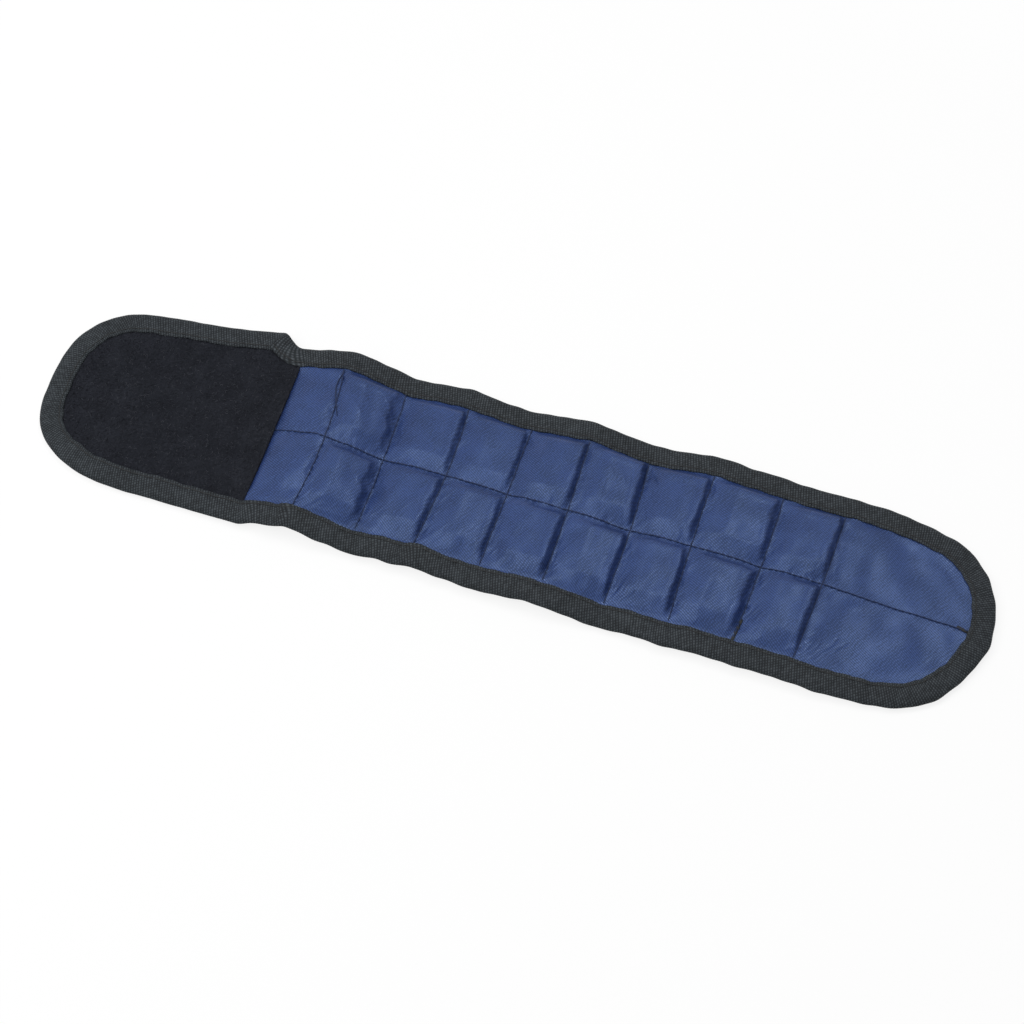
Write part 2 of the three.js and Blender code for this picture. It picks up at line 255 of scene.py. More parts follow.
def inset_of(x, y):
    """How far each point of the plan lies inside the band's outer edge."""
    flat = np.stack([np.ravel(x), np.ravel(y)], 1)
    depth = np.empty(len(flat))
    block = 4000
    for start in range(0, len(flat), block):
        part = flat[start:start + block]
        gap = part[:, None] - COARSE_EDGE[None]
        nearest = (gap**2).sum(2).argmin(1)
        across = gap[np.arange(len(part)), nearest]
        depth[start:start + block] = (across * COARSE_INWARD[nearest]).sum(1)
    return depth.reshape(np.shape(x))


def stations(spans):
    """Grid lines of neighbouring spans, each (start, end, cells), and the index where each span starts."""
    lines, starts = [], []
    for start, end, cells in spans:
        starts.append(len(lines))
        lines.extend(np.linspace(start, end, cells, endpoint=False))
    lines.append(spans[-1][1])
    return np.array(lines), starts


def grid_normals(points):
    """Normals of a grid of points, with +Z up."""
    along = np.gradient(points, axis=0)
    across = np.gradient(points, axis=1)
    normal = np.cross(along, across)
    return normal / np.maximum(np.linalg.norm(normal, axis=2), TINY)[..., None]


# Node trees


class Graph:
    """A node tree, with short ways to add nodes and join them."""

    def __init__(self, tree):
        self.tree = tree
        self.nodes = tree.nodes

    def join(self, term, socket):
        """Links an output to an input, or writes a plain value into the input."""
        if isinstance(term, bpy.types.NodeSocket):
            self.tree.links.new(term, socket)
        else:
            socket.default_value = term

    def add(self, kind, inputs=None, **settings):
        """A new node; its inputs are outputs of other nodes or plain values, by name or number."""
        node = self.nodes.new(kind)
        for label, value in settings.items():
            setattr(node, label, value)
        for label, term in (inputs or {}).items():
            self.join(term, node.inputs[label])
        return node

    def math(self, operation, *terms):
        """The result of a Math node."""
        return self.add("ShaderNodeMath", dict(enumerate(terms)), operation=operation).outputs[0]

    def times(self, value, factor, plus=0.0):
        """A value times a factor, plus a third value."""
        return self.math("MULTIPLY_ADD", value, factor, plus)

    def wave(self, kind, place, height=1.0, middle=0.0):
        """A SINE or COSINE wave over a place that is counted in periods."""
        return self.times(self.math(kind, self.times(place, TURN)), height, middle)

    def noise(self, vector, scale, detail=2.0, stretch=(1, 1, 1)):
        """A noise value over a vector, with the vector stretched first."""
        mapping = self.add("ShaderNodeMapping", {"Vector": vector, "Scale": stretch})
        values = {"Vector": mapping.outputs[0], "Scale": scale, "Detail": detail}
        return self.add("ShaderNodeTexNoise", values).outputs["Fac"]

    def object_place(self):
        """The place in the object, in metres."""
        return self.add("ShaderNodeTexCoord").outputs["Object"]

    def attribute(self, name):
        """The value of a mesh attribute in a material."""
        return self.add("ShaderNodeAttribute", attribute_name=name).outputs["Fac"]

    def cloth_place(self):
        """The place in the piece's own cloth, in millimetres, and its two parts."""
        place = self.add("ShaderNodeUVMap", uv_map="weave").outputs["UV"]
        parts = self.add("ShaderNodeSeparateXYZ", {0: place})
        return place, parts.outputs["X"], parts.outputs["Y"]

    def slanted(self, u, v, slant, pitch):
        """Place along a slanting direction of the cloth, counted in pitches."""
        return self.times(v, math.sin(slant) / pitch, self.times(u, math.cos(slant) / pitch))

    def seen(self):
        """1 for the rays that show a thing to the camera, straight or in a reflection, and 0 for light."""
        path = self.add("ShaderNodeLightPath").outputs
        straight = self.math("MAXIMUM", path["Is Camera Ray"], path["Is Glossy Ray"])
        return self.math("MAXIMUM", straight, path["Is Transmission Ray"])


# Materials


def new_material(name):
    """A material with a Principled shader, its tree and that shader."""
    made = bpy.data.materials.new(name)
    made.use_nodes = True
    return made, Graph(made.node_tree), made.node_tree.nodes["Principled BSDF"]


def dress(graph, shader, factor, stops, inputs, relief=None, depth=0.0, strength=1.0):
    """Gives a shader a ramp of linear colours, other inputs, and fine relief of a depth in millimetres."""
    node = graph.add("ShaderNodeValToRGB", {"Fac": factor})
    band = node.color_ramp
    while len(band.elements) < len(stops):
        band.elements.new(0.5)
    for element, (place, colour) in zip(band.elements, stops):
        element.position = place
        element.color = (*colour, 1)
    for label, term in {"Base Color": node.outputs["Color"], **inputs}.items():
        graph.join(term, shader.inputs[label])
    if relief is not None:
        bump = graph.add("ShaderNodeBump", {"Height": relief, "Distance": depth * MM, "Strength": strength})
        graph.join(bump.outputs["Normal"], shader.inputs["Normal"])


def blue_twill():
    """Satin twill: slanting ribs with painted sheen in random patches, uneven yarns and soft changes of tone.
    """
    made, graph, shader = new_material("blue_twill")
    place, u, v = graph.cloth_place()
    slant = math.radians(-32)
    pitch = 0.69
    dash_pitch = 1.05
    wander = graph.noise(place, scale=0.35, detail=3)
    rib_place = graph.times(wander, 0.7, graph.slanted(u, v, slant + math.pi / 2, pitch))
    rib = graph.wave("SINE", rib_place, height=0.5, middle=0.5)
    yarn = graph.noise(place, scale=1.3, detail=3)
    tone = graph.noise(place, scale=0.06, detail=3)
    patch = graph.times(graph.noise(place, scale=0.13), 2.6, -0.8)
    dash_place = graph.times(wander, 2.5, graph.slanted(u, v, slant, dash_pitch))
    dash = graph.wave("SINE", dash_place, height=0.4, middle=0.5)
    # Painted sheen: the rib lines lower the roughness and are also made lighter in the base colour, most
    # where the patch noise is high.
    shown = graph.times(graph.math("MAXIMUM", patch, 0.1), 0.6, dash)
    line = graph.times(rib, graph.times(shown, 0.7))
    mix = graph.times(line, 0.68, graph.times(yarn, 0.55))
    mix = graph.times(tone, 0.27, mix)
    rough = graph.times(yarn, 0.12, graph.times(line, -0.40, 0.53))
    dress(graph, shader, mix, [(0.30, (0.0065, 0.0138, 0.0502)), (0.57, (0.0182, 0.0354, 0.1177)),
                               (0.84, (0.0413, 0.0765, 0.2412))],
          {"Roughness": rough, "Specular IOR Level": 0.6, "Specular Tint": (0.5, 0.68, 1, 1)},
          relief=graph.times(yarn, 0.5, line), depth=0.022)
    return made


def woven_tape():
    """Ribbed tape: rows of short yarns between the ribs, each yarn a little lighter or darker."""
    made, graph, shader = new_material("woven_tape")
    place, u, v = graph.cloth_place()
    rib_place = graph.slanted(u, v, RIB_SLANT, RIB_PITCH)
    yarn_place = graph.slanted(u, v, YARN_SLANT, YARN_PITCH)
    counted = {"X": graph.math("FLOOR", rib_place), "Y": graph.math("FLOOR", yarn_place)}
    cell = graph.add("ShaderNodeCombineXYZ", counted)
    speck = graph.add("ShaderNodeTexWhiteNoise", {"Vector": cell.outputs[0]}, noise_dimensions="2D")
    rib = graph.wave("COSINE", rib_place, height=-0.5, middle=0.5)
    yarn = graph.wave("COSINE", yarn_place, height=-0.5, middle=0.5)
    height = graph.times(rib, graph.times(yarn, 0.7, 0.3))
    tone = graph.noise(place, scale=0.09, detail=3)
    mix = graph.times(speck.outputs["Value"], 0.24, graph.times(height, 0.60))
    mix = graph.times(tone, 0.2, mix)
    dress(graph, shader, mix, [(0.1, (0.0095, 0.011, 0.0125)), (0.40, (0.0245, 0.0298, 0.0345)),
                               (0.80, (0.080, 0.091, 0.102))],
          {"Roughness": 0.72, "Specular IOR Level": 0.18}, relief=height, depth=0.13)
    return made


def plain_weave():
    """Black lining: a fine over and under weave."""
    made, graph, shader = new_material("plain_weave")
    place, u, v = graph.cloth_place()
    pitch = 0.8
    wave_u, wave_v = (graph.wave("SINE", graph.times(part, 1 / pitch)) for part in (u, v))
    weave = graph.times(graph.times(wave_u, wave_v), 0.5, 0.5)
    yarn = graph.noise(place, scale=1.6, detail=3)
    tone = graph.noise(place, scale=0.05)
    mix = graph.times(weave, 0.4, graph.times(yarn, 0.35))
    mix = graph.times(tone, 0.3, mix)
    dress(graph, shader, mix, [(0.1, (0.006, 0.006, 0.007)), (0.9, (0.030, 0.031, 0.034))],
          {"Roughness": 0.85, "Specular IOR Level": 0.25}, relief=weave, depth=0.08, strength=0.8)
    return made


def pile_fibre():
    """Loop pile: dull dark fibres, each a little different."""
    made, graph, shader = new_material("pile_fibre")
    dress(graph, shader, graph.attribute("fibre_tone"),
          [(0.0, (0.013, 0.014, 0.019)), (0.75, (0.028, 0.031, 0.041)), (1.0, (0.075, 0.080, 0.095))],
          {"Roughness": 0.9, "Specular IOR Level": 0.15})
    return made


def pile_ground():
    """The knitted ground between the loops."""
    made, graph, shader = new_material("pile_ground")
    place, _, _ = graph.cloth_place()
    fluff = graph.noise(place, scale=1.5, detail=4)
    clouds = graph.noise(place, scale=0.12, detail=3)
    mix = graph.times(clouds, 0.5, graph.times(fluff, 0.5))
    dress(graph, shader, mix, [(0.25, (0.010, 0.011, 0.015)), (0.75, (0.030, 0.033, 0.043))],
          {"Roughness": 0.95, "Specular IOR Level": 0.12}, relief=fluff, depth=0.5, strength=0.8)
    return made


def hook_nylon():
    """Hook patch: stiff dark nylon."""
    made, graph, shader = new_material("hook_nylon")
    speckle = graph.noise(graph.object_place(), scale=900, detail=3)
    dress(graph, shader, speckle, [(0.3, (0.006, 0.006, 0.007)), (0.7, (0.022, 0.022, 0.025))],
          {"Roughness": 0.5}, relief=speckle, depth=0.06, strength=0.6)
    return made


def sewing_thread():
    """Twisted thread: navy on the seams, black on the tape."""
    made, graph, shader = new_material("sewing_thread")
    twist = graph.noise(graph.object_place(), scale=2600)
    mix = graph.times(twist, 0.3, graph.attribute("thread_tone"))
    dress(graph, shader, mix, [(0.0, (0.008, 0.017, 0.054)), (0.3, (0.020, 0.036, 0.098)),
                               (0.7, (0.010, 0.011, 0.012)), (1.0, (0.022, 0.024, 0.026))],
          {"Roughness": 0.6, "Specular IOR Level": 0.3}, relief=twist, depth=0.05, strength=0.6)
    return made


def magnet_metal():
    """Plated magnet: dull silver with fine scratches."""
    made, graph, shader = new_material("magnet_metal")
    scratch = graph.noise(graph.object_place(), scale=400, detail=4, stretch=(1, 9, 1))
    dress(graph, shader, scratch, [(0.3, (0.30, 0.31, 0.32)), (0.7, (0.52, 0.53, 0.54))],
          {"Roughness": graph.times(scratch, 0.3, 0.25), "Metallic": 1.0})
    return made


BLUE_TWILL = blue_twill()
WOVEN_TAPE = woven_tape()
PLAIN_WEAVE = plain_weave()
PILE_FIBRE = pile_fibre()
PILE_GROUND = pile_ground()
HOOK_NYLON = hook_nylon()
SEWING_THREAD = sewing_thread()
MAGNET_METAL = magnet_metal()

# Meshes


def new_mesh(name, points, edges, faces):
    """A mesh whose points are given in millimetres."""
    mesh = bpy.data.meshes.new(name)
    mesh.from_pydata((points * MM).tolist(), edges, faces)
    return mesh


def set_floats(mesh, label, values):
    """Writes a float to each point of a mesh."""
    layer = mesh.attributes.new(label, "FLOAT", "POINT")
    layer.data.foreach_set("value", np.asarray(values, np.float32))


def new_object(name, mesh, material):
    """A linked object with smooth faces and one material."""
    made = bpy.data.objects.new(name, mesh)
    bpy.context.scene.collection.objects.link(made)
    mesh.polygons.foreach_set("use_smooth", np.ones(len(mesh.polygons), bool))
    mesh.materials.append(material)
    return made


def set_weave(mesh, places):
    """Writes each vertex's place in its cloth to the mesh's UV map."""
    corner = np.empty(len(mesh.loops), int)
    mesh.loops.foreach_get("vertex_index", corner)
    layer = mesh.uv_layers.new(name="weave")
    layer.data.foreach_set("uv", places[corner].astype(np.float32).ravel())


def slab(name, top, normals, kept, thickness, places, material):
    """A closed sheet of cloth: the kept cells of a grid, their under side and the rim."""
    grid = np.arange(top.shape[0] * top.shape[1]).reshape(top.shape[:2])
    corners = (grid[:-1, :-1], grid[1:, :-1], grid[1:, 1:], grid[:-1, 1:])
    quads = np.stack([c[kept] for c in corners], 1)
    used, compact = np.unique(quads, return_inverse=True)
    quads = compact.reshape(-1, 4)
    count = len(used)
    edges = np.concatenate([quads[:, [a, (a + 1) % 4]] for a in range(4)])
    key = edges[:, 0] * count + edges[:, 1]
    rim = edges[~np.isin(key, edges[:, 1] * count + edges[:, 0])]
    rim_quads = np.stack([rim[:, 1], rim[:, 0], rim[:, 0] + count, rim[:, 1] + count], 1)
    faces = np.concatenate([quads, quads[:, ::-1] + count, rim_quads])
    upper = top.reshape(-1, 3)[used]
    facing = normals.reshape(-1, 3)[used]
    points = np.concatenate([upper, upper - facing * thickness])
    mesh = new_mesh(name, points, [], faces.tolist())
    flat = places.reshape(-1, 2)[used]
    set_weave(mesh, np.concatenate([flat, flat]))
    made = new_object(name, mesh, material)
    side = points[rim_quads]
    rim_facing = np.cross(side[:, 1] - side[:, 0], side[:, 2] - side[:, 1])
    rim_facing /= np.maximum(np.linalg.norm(rim_facing, axis=1), TINY)[:, None]
    corner_normals = np.concatenate([facing[quads].reshape(-1, 3), -facing[quads[:, ::-1]].reshape(-1, 3),
                                     np.repeat(rim_facing, 4, 0)])
    mesh.normals_split_custom_set(corner_normals.tolist())
    return made


def bend_at(piece, k):
    """Bakes a piece's placement into its mesh; the hinge k is not used."""
    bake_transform(piece)


# Geometry Nodes


def new_tree(name, inputs):
    """A Geometry Nodes tree with a mesh in, a mesh out and named inputs, each (name, value): a float or
    a whole number, and last the material."""
    tree = bpy.data.node_groups.new(name, "GeometryNodeTree")
    tree.interface.new_socket("Geometry", in_out="INPUT", socket_type="NodeSocketGeometry")
    for label, value in inputs:
        kind = "NodeSocketInt" if isinstance(value, int) else "NodeSocketFloat"
        tree.interface.new_socket(label, in_out="INPUT", socket_type=kind).default_value = value
    tree.interface.new_socket("Material", in_out="INPUT", socket_type="NodeSocketMaterial")
    tree.interface.new_socket("Geometry", in_out="OUTPUT", socket_type="NodeSocketGeometry")
    graph = Graph(tree)
    return graph, graph.add("NodeGroupInput").outputs


def close_tree(graph, source, given):
    """Ends a tree in Realize Instances and Set Material."""
    realize = graph.add("GeometryNodeRealizeInstances", {"Geometry": source})
    paint = graph.add("GeometryNodeSetMaterial", {"Geometry": realize.outputs["Geometry"],
                                                  "Material": given["Material"]})
    graph.add("NodeGroupOutput", {"Geometry": paint.outputs["Geometry"]})
    return graph.tree


def named_float(graph, name):
    """The value of a float attribute of the points."""
    node = graph.add("GeometryNodeInputNamedAttribute", {"Name": name}, data_type="FLOAT")
    return node.outputs["Attribute"]


def random_value(graph, low, high, seed):
    """A fixed random number for each point."""
    node = graph.add("FunctionNodeRandomValue", {"Seed": seed}, data_type="FLOAT")
    sockets = [socket for socket in node.inputs if socket.type == "VALUE"]
    sockets[0].default_value = low
    sockets[1].default_value = high
    return next(socket for socket in node.outputs if socket.type == "VALUE")


def normal_of(graph):
    """The normal of each face or point."""
    return graph.add("GeometryNodeInputNormal").outputs["Normal"]


def arc_curve(graph, radius, points, start, sweep):
    """A round arc, its angles in degrees."""
    values = {"Resolution": points, "Start Angle": math.radians(start), "Sweep Angle": math.radians(sweep),
              "Radius": radius}
    return graph.add("GeometryNodeCurveArc", values).outputs["Curve"]


def tube(graph, curve, radius, sides, **values):
    """A tube along a curve."""
    profile = graph.add("GeometryNodeCurvePrimitiveCircle", {"Resolution": sides, "Radius": radius})
    inputs = {"Curve": curve, "Profile Curve": profile.outputs["Curve"], **values}
    return graph.add("GeometryNodeCurveToMesh", inputs).outputs["Mesh"]


def grown(piece, tree, **values):
    """Runs a tree on a piece and keeps the result as its plain mesh."""
    modifier = piece.modifiers.new(tree.name, "NODES")
    modifier.node_group = tree
    for item in tree.interface.items_tree:
        label = item.name.lower().replace(" ", "_")
        if item.in_out == "INPUT" and label in values:
            modifier[item.identifier] = values[label]
    depsgraph = bpy.context.evaluated_depsgraph_get()
    mesh = bpy.data.meshes.new_from_object(piece.evaluated_get(depsgraph), preserve_all_data_layers=True,
                                           depsgraph=depsgraph)
    piece.modifiers.remove(modifier)
    source = piece.data
    piece.data = mesh
    bpy.data.meshes.remove(source)
    mesh.name = piece.name
    mesh.polygons.foreach_set("use_smooth", np.ones(len(mesh.polygons), bool))
    return piece


def rib_tree():
    """Raises the crosswise ribs of the tape along its faces' normals."""
    graph, given = new_tree("tape_ribs", [("Rib Pitch", RIB_PITCH), ("Rib Height", RIB_HEIGHT * MM)])
    turn = graph.math("DIVIDE", named_float(graph, "along"), given["Rib Pitch"])
    height = graph.times(graph.wave("COSINE", turn, height=-0.5, middle=0.5), given["Rib Height"])
    raised = graph.add("ShaderNodeVectorMath", {0: normal_of(graph), "Scale": height}, operation="SCALE")
    move = graph.add("GeometryNodeSetPosition", {"Geometry": given["Geometry"], "Offset": raised.outputs[0]})
    return close_tree(graph, move.outputs["Geometry"], given)


def thread_tree():
    """Makes each edge a stitch: a short thread that arches between its two needle holes."""
    graph, given = new_tree("sewn_thread", [
        ("Thread Radius", THREAD_RADIUS * MM), ("Arch", STITCH_ARCH * MM), ("Steps", STITCH_STEPS)])
    curve = graph.add("GeometryNodeMeshToCurve", {"Mesh": given["Geometry"]}).outputs["Curve"]
    steps = graph.add("GeometryNodeResampleCurve", {"Curve": curve, "Count": given["Steps"]})
    factor = graph.add("GeometryNodeSplineParameter").outputs["Factor"]
    hump = graph.times(graph.times(factor, graph.math("SUBTRACT", 1.0, factor)), 4.0)
    rise = graph.times(graph.times(hump, given["Arch"]), named_float(graph, "side"))
    offset = graph.add("ShaderNodeCombineXYZ", {"Z": rise})
    move = graph.add("GeometryNodeSetPosition", {
        "Geometry": steps.outputs["Curve"], "Offset": offset.outputs[0]})
    mesh = tube(graph, move.outputs["Geometry"], given["Thread Radius"], sides=6,
                **{"Fill Caps": True, "Scale": graph.times(hump, 0.55, 0.5)})
    return close_tree(graph, mesh, given)


def pile_tree():
    """Scatters small bent loops over the faces that look up."""
    graph, given = new_tree("pile_loops", [
        ("Spacing", LOOP_SPACING * MM), ("Density", LOOP_DENSITY), ("Loop Radius", LOOP_RADIUS * MM),
        ("Fibre Radius", FIBRE_RADIUS * MM)])
    facing = graph.add("ShaderNodeSeparateXYZ", {0: normal_of(graph)})
    upward = graph.math("GREATER_THAN", facing.outputs["Z"], 0.5)
    scatter = graph.add("GeometryNodeDistributePointsOnFaces", {
        "Seed": 3, "Mesh": given["Geometry"], "Selection": upward, "Distance Min": given["Spacing"],
        "Density Max": given["Density"]}, distribute_method="POISSON")
    loop = tube(graph, arc_curve(graph, given["Loop Radius"], points=5, start=-20, sweep=220),
                given["Fibre Radius"], sides=3)
    turn = graph.add("ShaderNodeCombineXYZ", {"X": random_value(graph, 0.5, 1.9, seed=11),
                                              "Z": random_value(graph, 0, TURN, seed=12)})
    place = graph.add("GeometryNodeInstanceOnPoints", {
        "Points": scatter.outputs["Points"], "Instance": loop, "Rotation": turn.outputs[0],
        "Scale": random_value(graph, 0.6, 1.25, seed=13)})
    tone = graph.add("GeometryNodeStoreNamedAttribute", {
        "Name": "fibre_tone", "Geometry": place.outputs["Instances"],
        "Value": random_value(graph, 0, 1, seed=14)}, data_type="FLOAT", domain="INSTANCE")
    return close_tree(graph, tone.outputs["Geometry"], given)


def hook_tree():
    """Stands a small hook on every point of a coarse grid."""
    graph, given = new_tree("hook_rows", [
        ("Hook Radius", HOOK_RADIUS * MM), ("Wire Radius", HOOK_WIRE_RADIUS * MM)])
    points = graph.add("GeometryNodeMeshToPoints", {"Mesh": given["Geometry"]})
    hook = tube(graph, arc_curve(graph, given["Hook Radius"], points=6, start=-10, sweep=230),
                given["Wire Radius"], sides=4, **{"Fill Caps": True})
    turn = graph.add("ShaderNodeCombineXYZ", {
        "X": -math.pi / 2, "Z": random_value(graph, -0.35, 0.35, seed=21)})
    place = graph.add("GeometryNodeInstanceOnPoints", {
        "Points": points.outputs["Points"], "Instance": hook, "Rotation": turn.outputs[0]})
    return close_tree(graph, place.outputs["Instances"], given)


RIBS = rib_tree()
SEWN_THREAD = thread_tree()
PILE_LOOPS = pile_tree()
HOOK_ROWS = hook_tree()

# The blue cloth, settled over the magnets

# Springs of the cloth: (cells along, cells across, length in cells, stiffness, whether it only pushes)
CLOTH_SPRINGS = [(1, 0, 1.0, 0.9, False), (0, 1, 1.0, 0.9, False), (1, 1, 1.0, 0.25, False),
                 (1, -1, 1.0, 0.25, False), (2, 0, 1.97, 0.12, True), (0, 2, 1.97, 0.12, True),
                 (4, 0, 3.90, 0.06, True), (0, 4, 3.90, 0.06, True)]
SETTLE_STEPS = 90
SETTLE_PASSES = 4
SETTLE_DAMPING = 0.93
SETTLE_FALL = np.array([0, 0, -0.0035])


def neighbour_pairs(shape, along, across):
    """Slices of a grid that pair each point with the one some cells away, in sets that share no point."""
    span = along or across
    for start in range(2 * span):
        if along:
            a_rows = slice(start, shape[0] - along, 2 * span)
            b_rows = slice(start + along, shape[0], 2 * span)
            a_columns = slice(max(0, -across), shape[1] - max(0, across))
            b_columns = slice(max(0, across), shape[1] - max(0, -across))
        else:
            a_rows = b_rows = slice(None)
            a_columns = slice(start, shape[1] - across, 2 * span)
            b_columns = slice(start + across, shape[1], 2 * span)
        yield (a_rows, a_columns), (b_rows, b_columns)


def draw_together(points, free, a, b, rest, stiffness, push_only):
    """Moves paired points towards their rest distance."""
    gap = points[b] - points[a]
    length = np.sqrt((gap**2).sum(2))
    total = free[a] + free[b]
    share = stiffness * (length - rest) / np.maximum(length * total, 1e-6)
    if push_only:
        share = np.minimum(share, 0)
    move = gap * np.where(total > 0, share, 0)[..., None]
    points[a] += move * free[a][..., None]
    points[b] -= move * free[b][..., None]


def settle(points, free, cell_x, cell_y, ground, steps):
    """Lets a sewn cloth with some spare width come to rest over what is under it."""
    diagonal = np.sqrt(cell_x**2 + cell_y**2)
    springs = []
    for along, across, cells, stiffness, push_only in CLOTH_SPRINGS:
        cell = diagonal if along and across else cell_x if along else cell_y
        rest = cells * cell
        for a, b in neighbour_pairs(points.shape, along, across):
            springs.append((a, b, (rest[a] + rest[b]) / 2, stiffness, push_only))
    before = points.copy()
    for _ in range(steps):
        motion = (points - before) * SETTLE_DAMPING + SETTLE_FALL
        before = points.copy()
        points += motion * free[..., None]
        for _ in range(SETTLE_PASSES):
            for a, b, rest, stiffness, push_only in springs:
                draw_together(points, free, a, b, rest, stiffness, push_only)
            low = ground(points[..., 0], points[..., 1])
            points[..., 2] = np.where(free > 0, np.maximum(points[..., 2], low), points[..., 2])
    return points


def smoothstep(value):
    """Smooth rise from 0 to 1."""
    t = np.clip(value, 0, 1)
    return t * t * (3 - 2 * t)


def ease_out(value):
    """Rise from 0 to 1 that is steepest at its start."""
    return 1 - (1 - np.clip(value, 0, 1))**RISE_BEND


# How far each pocket's filling strays: along, across, its angle, its height and its slope
BLOCK_STRAY = np.array([0.3, 0.3, 0.02, 0.2, 0.012])


def pad_blocks():
    """What fills each pocket: (column, row, centre x, centre y, angle, top, slope across)."""
    blocks = []
    for k in range(COLUMN_COUNT):
        for row in (1, -1):
            dx, dy, angle, top, slope = random.uniform(-BLOCK_STRAY, BLOCK_STRAY)
            blocks.append((k, row, SEAM_X[k] + COLUMN_PITCH / 2 + dx, row * CLOTH_HALF_WIDTH / 2 + dy, angle,
                           PAD_TOP[k] + top, slope))
    return blocks


PAD_BLOCKS = pad_blocks()
SLACK_GROUND = SEAM_TOP - SLACK_DROP


def in_columns(x):
    """1 between the first and the last cross seam, and 0 outside them."""
    return smoothstep((x - SEAM_X[0]) / COLUMN_FADE) * smoothstep((SEAM_X[-1] - x) / COLUMN_FADE)


def between_seams(x):
    """Rises from 0 on a cross seam to 1 in the middle of a column."""
    return in_columns(x) * np.abs(np.sin(math.pi * (x - FIRST_SEAM_X) / COLUMN_PITCH))**COLUMN_ARCH


def slack_height(x, y):
    """Height of the cloth between the pads: it stands higher on the middle seam and beside the tape."""
    share = MIDDLE_CROSSING_SHARE + (1 - MIDDLE_CROSSING_SHARE) * between_seams(x)
    inside = smoothstep((x - JUNCTION_X) / MIDDLE_SEAM_FADE)
    inside = inside * smoothstep((SEAM_X[-1] + MIDDLE_SEAM_FADE - x) / MIDDLE_SEAM_FADE)
    middle = MIDDLE_SEAM_RISE * np.exp(-(y / MIDDLE_SEAM_REACH)**2) * share * inside
    seams = sum(rise * np.exp(-((x - seam_x) / SEAM_RISE_REACH)**2)
                for seam_x, rise in zip(SEAM_X, SEAM_RISES))
    middle = np.maximum(middle, seams * (1 - smoothstep((np.abs(y) - SEAM_RISE_END) / SEAM_RISE_FADE)))
    tongue = TONGUE_RISE * smoothstep((x - SEAM_X[-1]) / TONGUE_RISE_RUN)
    beside_tape = smoothstep((np.abs(y) - TAPE_SIDE_START) / TAPE_SIDE_RUN)
    return SLACK_GROUND + middle + tongue + (TAPE_SIDE_RISE - tongue) * beside_tape


def pad_ground(x, y):
    """Height of the lining and of the filled pockets under the cloth."""
    x = x - drift(x, y)
    base = slack_height(x, y)
    half_x, half_y = COLUMN_PITCH / 2, CLOTH_HALF_WIDTH / 2
    stub_along = (x - (JUNCTION_X + FIRST_SEAM_X) / 2) / ((FIRST_SEAM_X - JUNCTION_X) / 2)
    stub_across = np.abs(y) / half_y - 1
    bulge = np.maximum(1 - stub_along**2, 0) * np.maximum(1 - stub_across**2, 0)
    height = base + STUB_BULGE * bulge
    for k, row, cx, cy, angle, top, slope in PAD_BLOCKS:
        along = (x - cx) * math.cos(angle) + (y - cy) * math.sin(angle)
        across = (y - cy) * math.cos(angle) - (x - cx) * math.sin(angle)
        ripple = np.sin(LONG_RIPPLE * across + LONG_RIPPLE_TURN * k)
        short = np.sin(SHORT_RIPPLE * across + SHORT_RIPPLE_TURN * k + row)
        ripple = ripple + SHORT_RIPPLE_SHARE * short
        fall = PAD_FALL[k] * (1 + FLANK_RIPPLE * ripple)
        rise = ease_out((half_x + along - PAD_FOOT) / PAD_RISE[k])
        wall = np.clip((half_x - along - PAD_FOOT) / fall, 0, 1)
        rise = rise * wall * (WALL_FOOT + (1 - WALL_FOOT) * wall)
        near, far = (UPPER_PAD_NEAR, UPPER_PAD_FAR) if row > 0 else (LOWER_PAD_NEAR, LOWER_PAD_FAR)
        rise = rise * ease_out((half_y + across - PAD_FOOT) / near)
        rise = rise * smoothstep((half_y - across - PAD_FOOT) / far)
        crown = PAD_CROWN * (1 - (along / half_x)**2 - (across / half_y)**2)
        pad = top + crown + slope * across + PAD_TILT[k] * along
        height = np.maximum(height, base + (pad - base) * rise)
    return height


def soft_noise(shape, passes, seed):
    """Smooth random bumps over a grid, with a spread of about 1."""
    bumps = np.random.default_rng(seed).normal(0, 1, shape)
    for _ in range(passes):
        bumps = (bumps + np.roll(bumps, 1, 0) + np.roll(bumps, -1, 0)) / 3
        bumps = (bumps + np.roll(bumps, 1, 1) + np.roll(bumps, -1, 1)) / 3
    return bumps / bumps.std()


TUCK = 4.0
TUCK_CELLS = 7
STUB_CELLS = 48
COLUMN_CELLS = 60
TONGUE_CELLS = 132
HALF_CELLS = 48
EDGE_CELLS = 4
CLOTH_END_X = 168.0
CLOTH_UNDER_TAPE = 3.0
CLOTH_EASE = 0.003
EASE_SPREAD = 0.004
TONGUE_WAVE = 0.35
PAD_WAVE = 0.13
STUB_WAVE = 0.3
STITCH_RISE = 0.2
PUCKER = 0.09
PUCKER_REACH = 3.0
PUCKER_END = 5
MIDDLE_PUCKER_END = 8
TAPE_FADE = 4
STUB_FADE = 4
TONGUE_FADE = 6
TONGUE_MIDDLE_FADE = 5
HELD_AT_TAPE = 0.4
HELD_AT_JUNCTION = 0.3
TUCK_GAP = 0.1
TUCK_HEIGHT = 1.9
CLOTH_CLING = 0.14
CLOTH_ROUNDING = 0.15
START_GAP = 0.4
START_BUMPS = 0.12


def front_grid():
    """Grid lines of the blue cloth along and across the strap, and the index of each hinge."""
    spans = [(JUNCTION_X - TUCK, JUNCTION_X, TUCK_CELLS), (JUNCTION_X, SEAM_X[0], STUB_CELLS)]
    spans += [(a, b, COLUMN_CELLS) for a, b in zip(SEAM_X, SEAM_X[1:])]
    spans += [(SEAM_X[-1], CLOTH_END_X, TONGUE_CELLS)]
    x, starts = stations(spans)
    cell = CLOTH_HALF_WIDTH / HALF_CELLS
    y = np.arange(-HALF_CELLS - EDGE_CELLS, HALF_CELLS + EDGE_CELLS + 1) * cell
    return x, y, starts[1:]


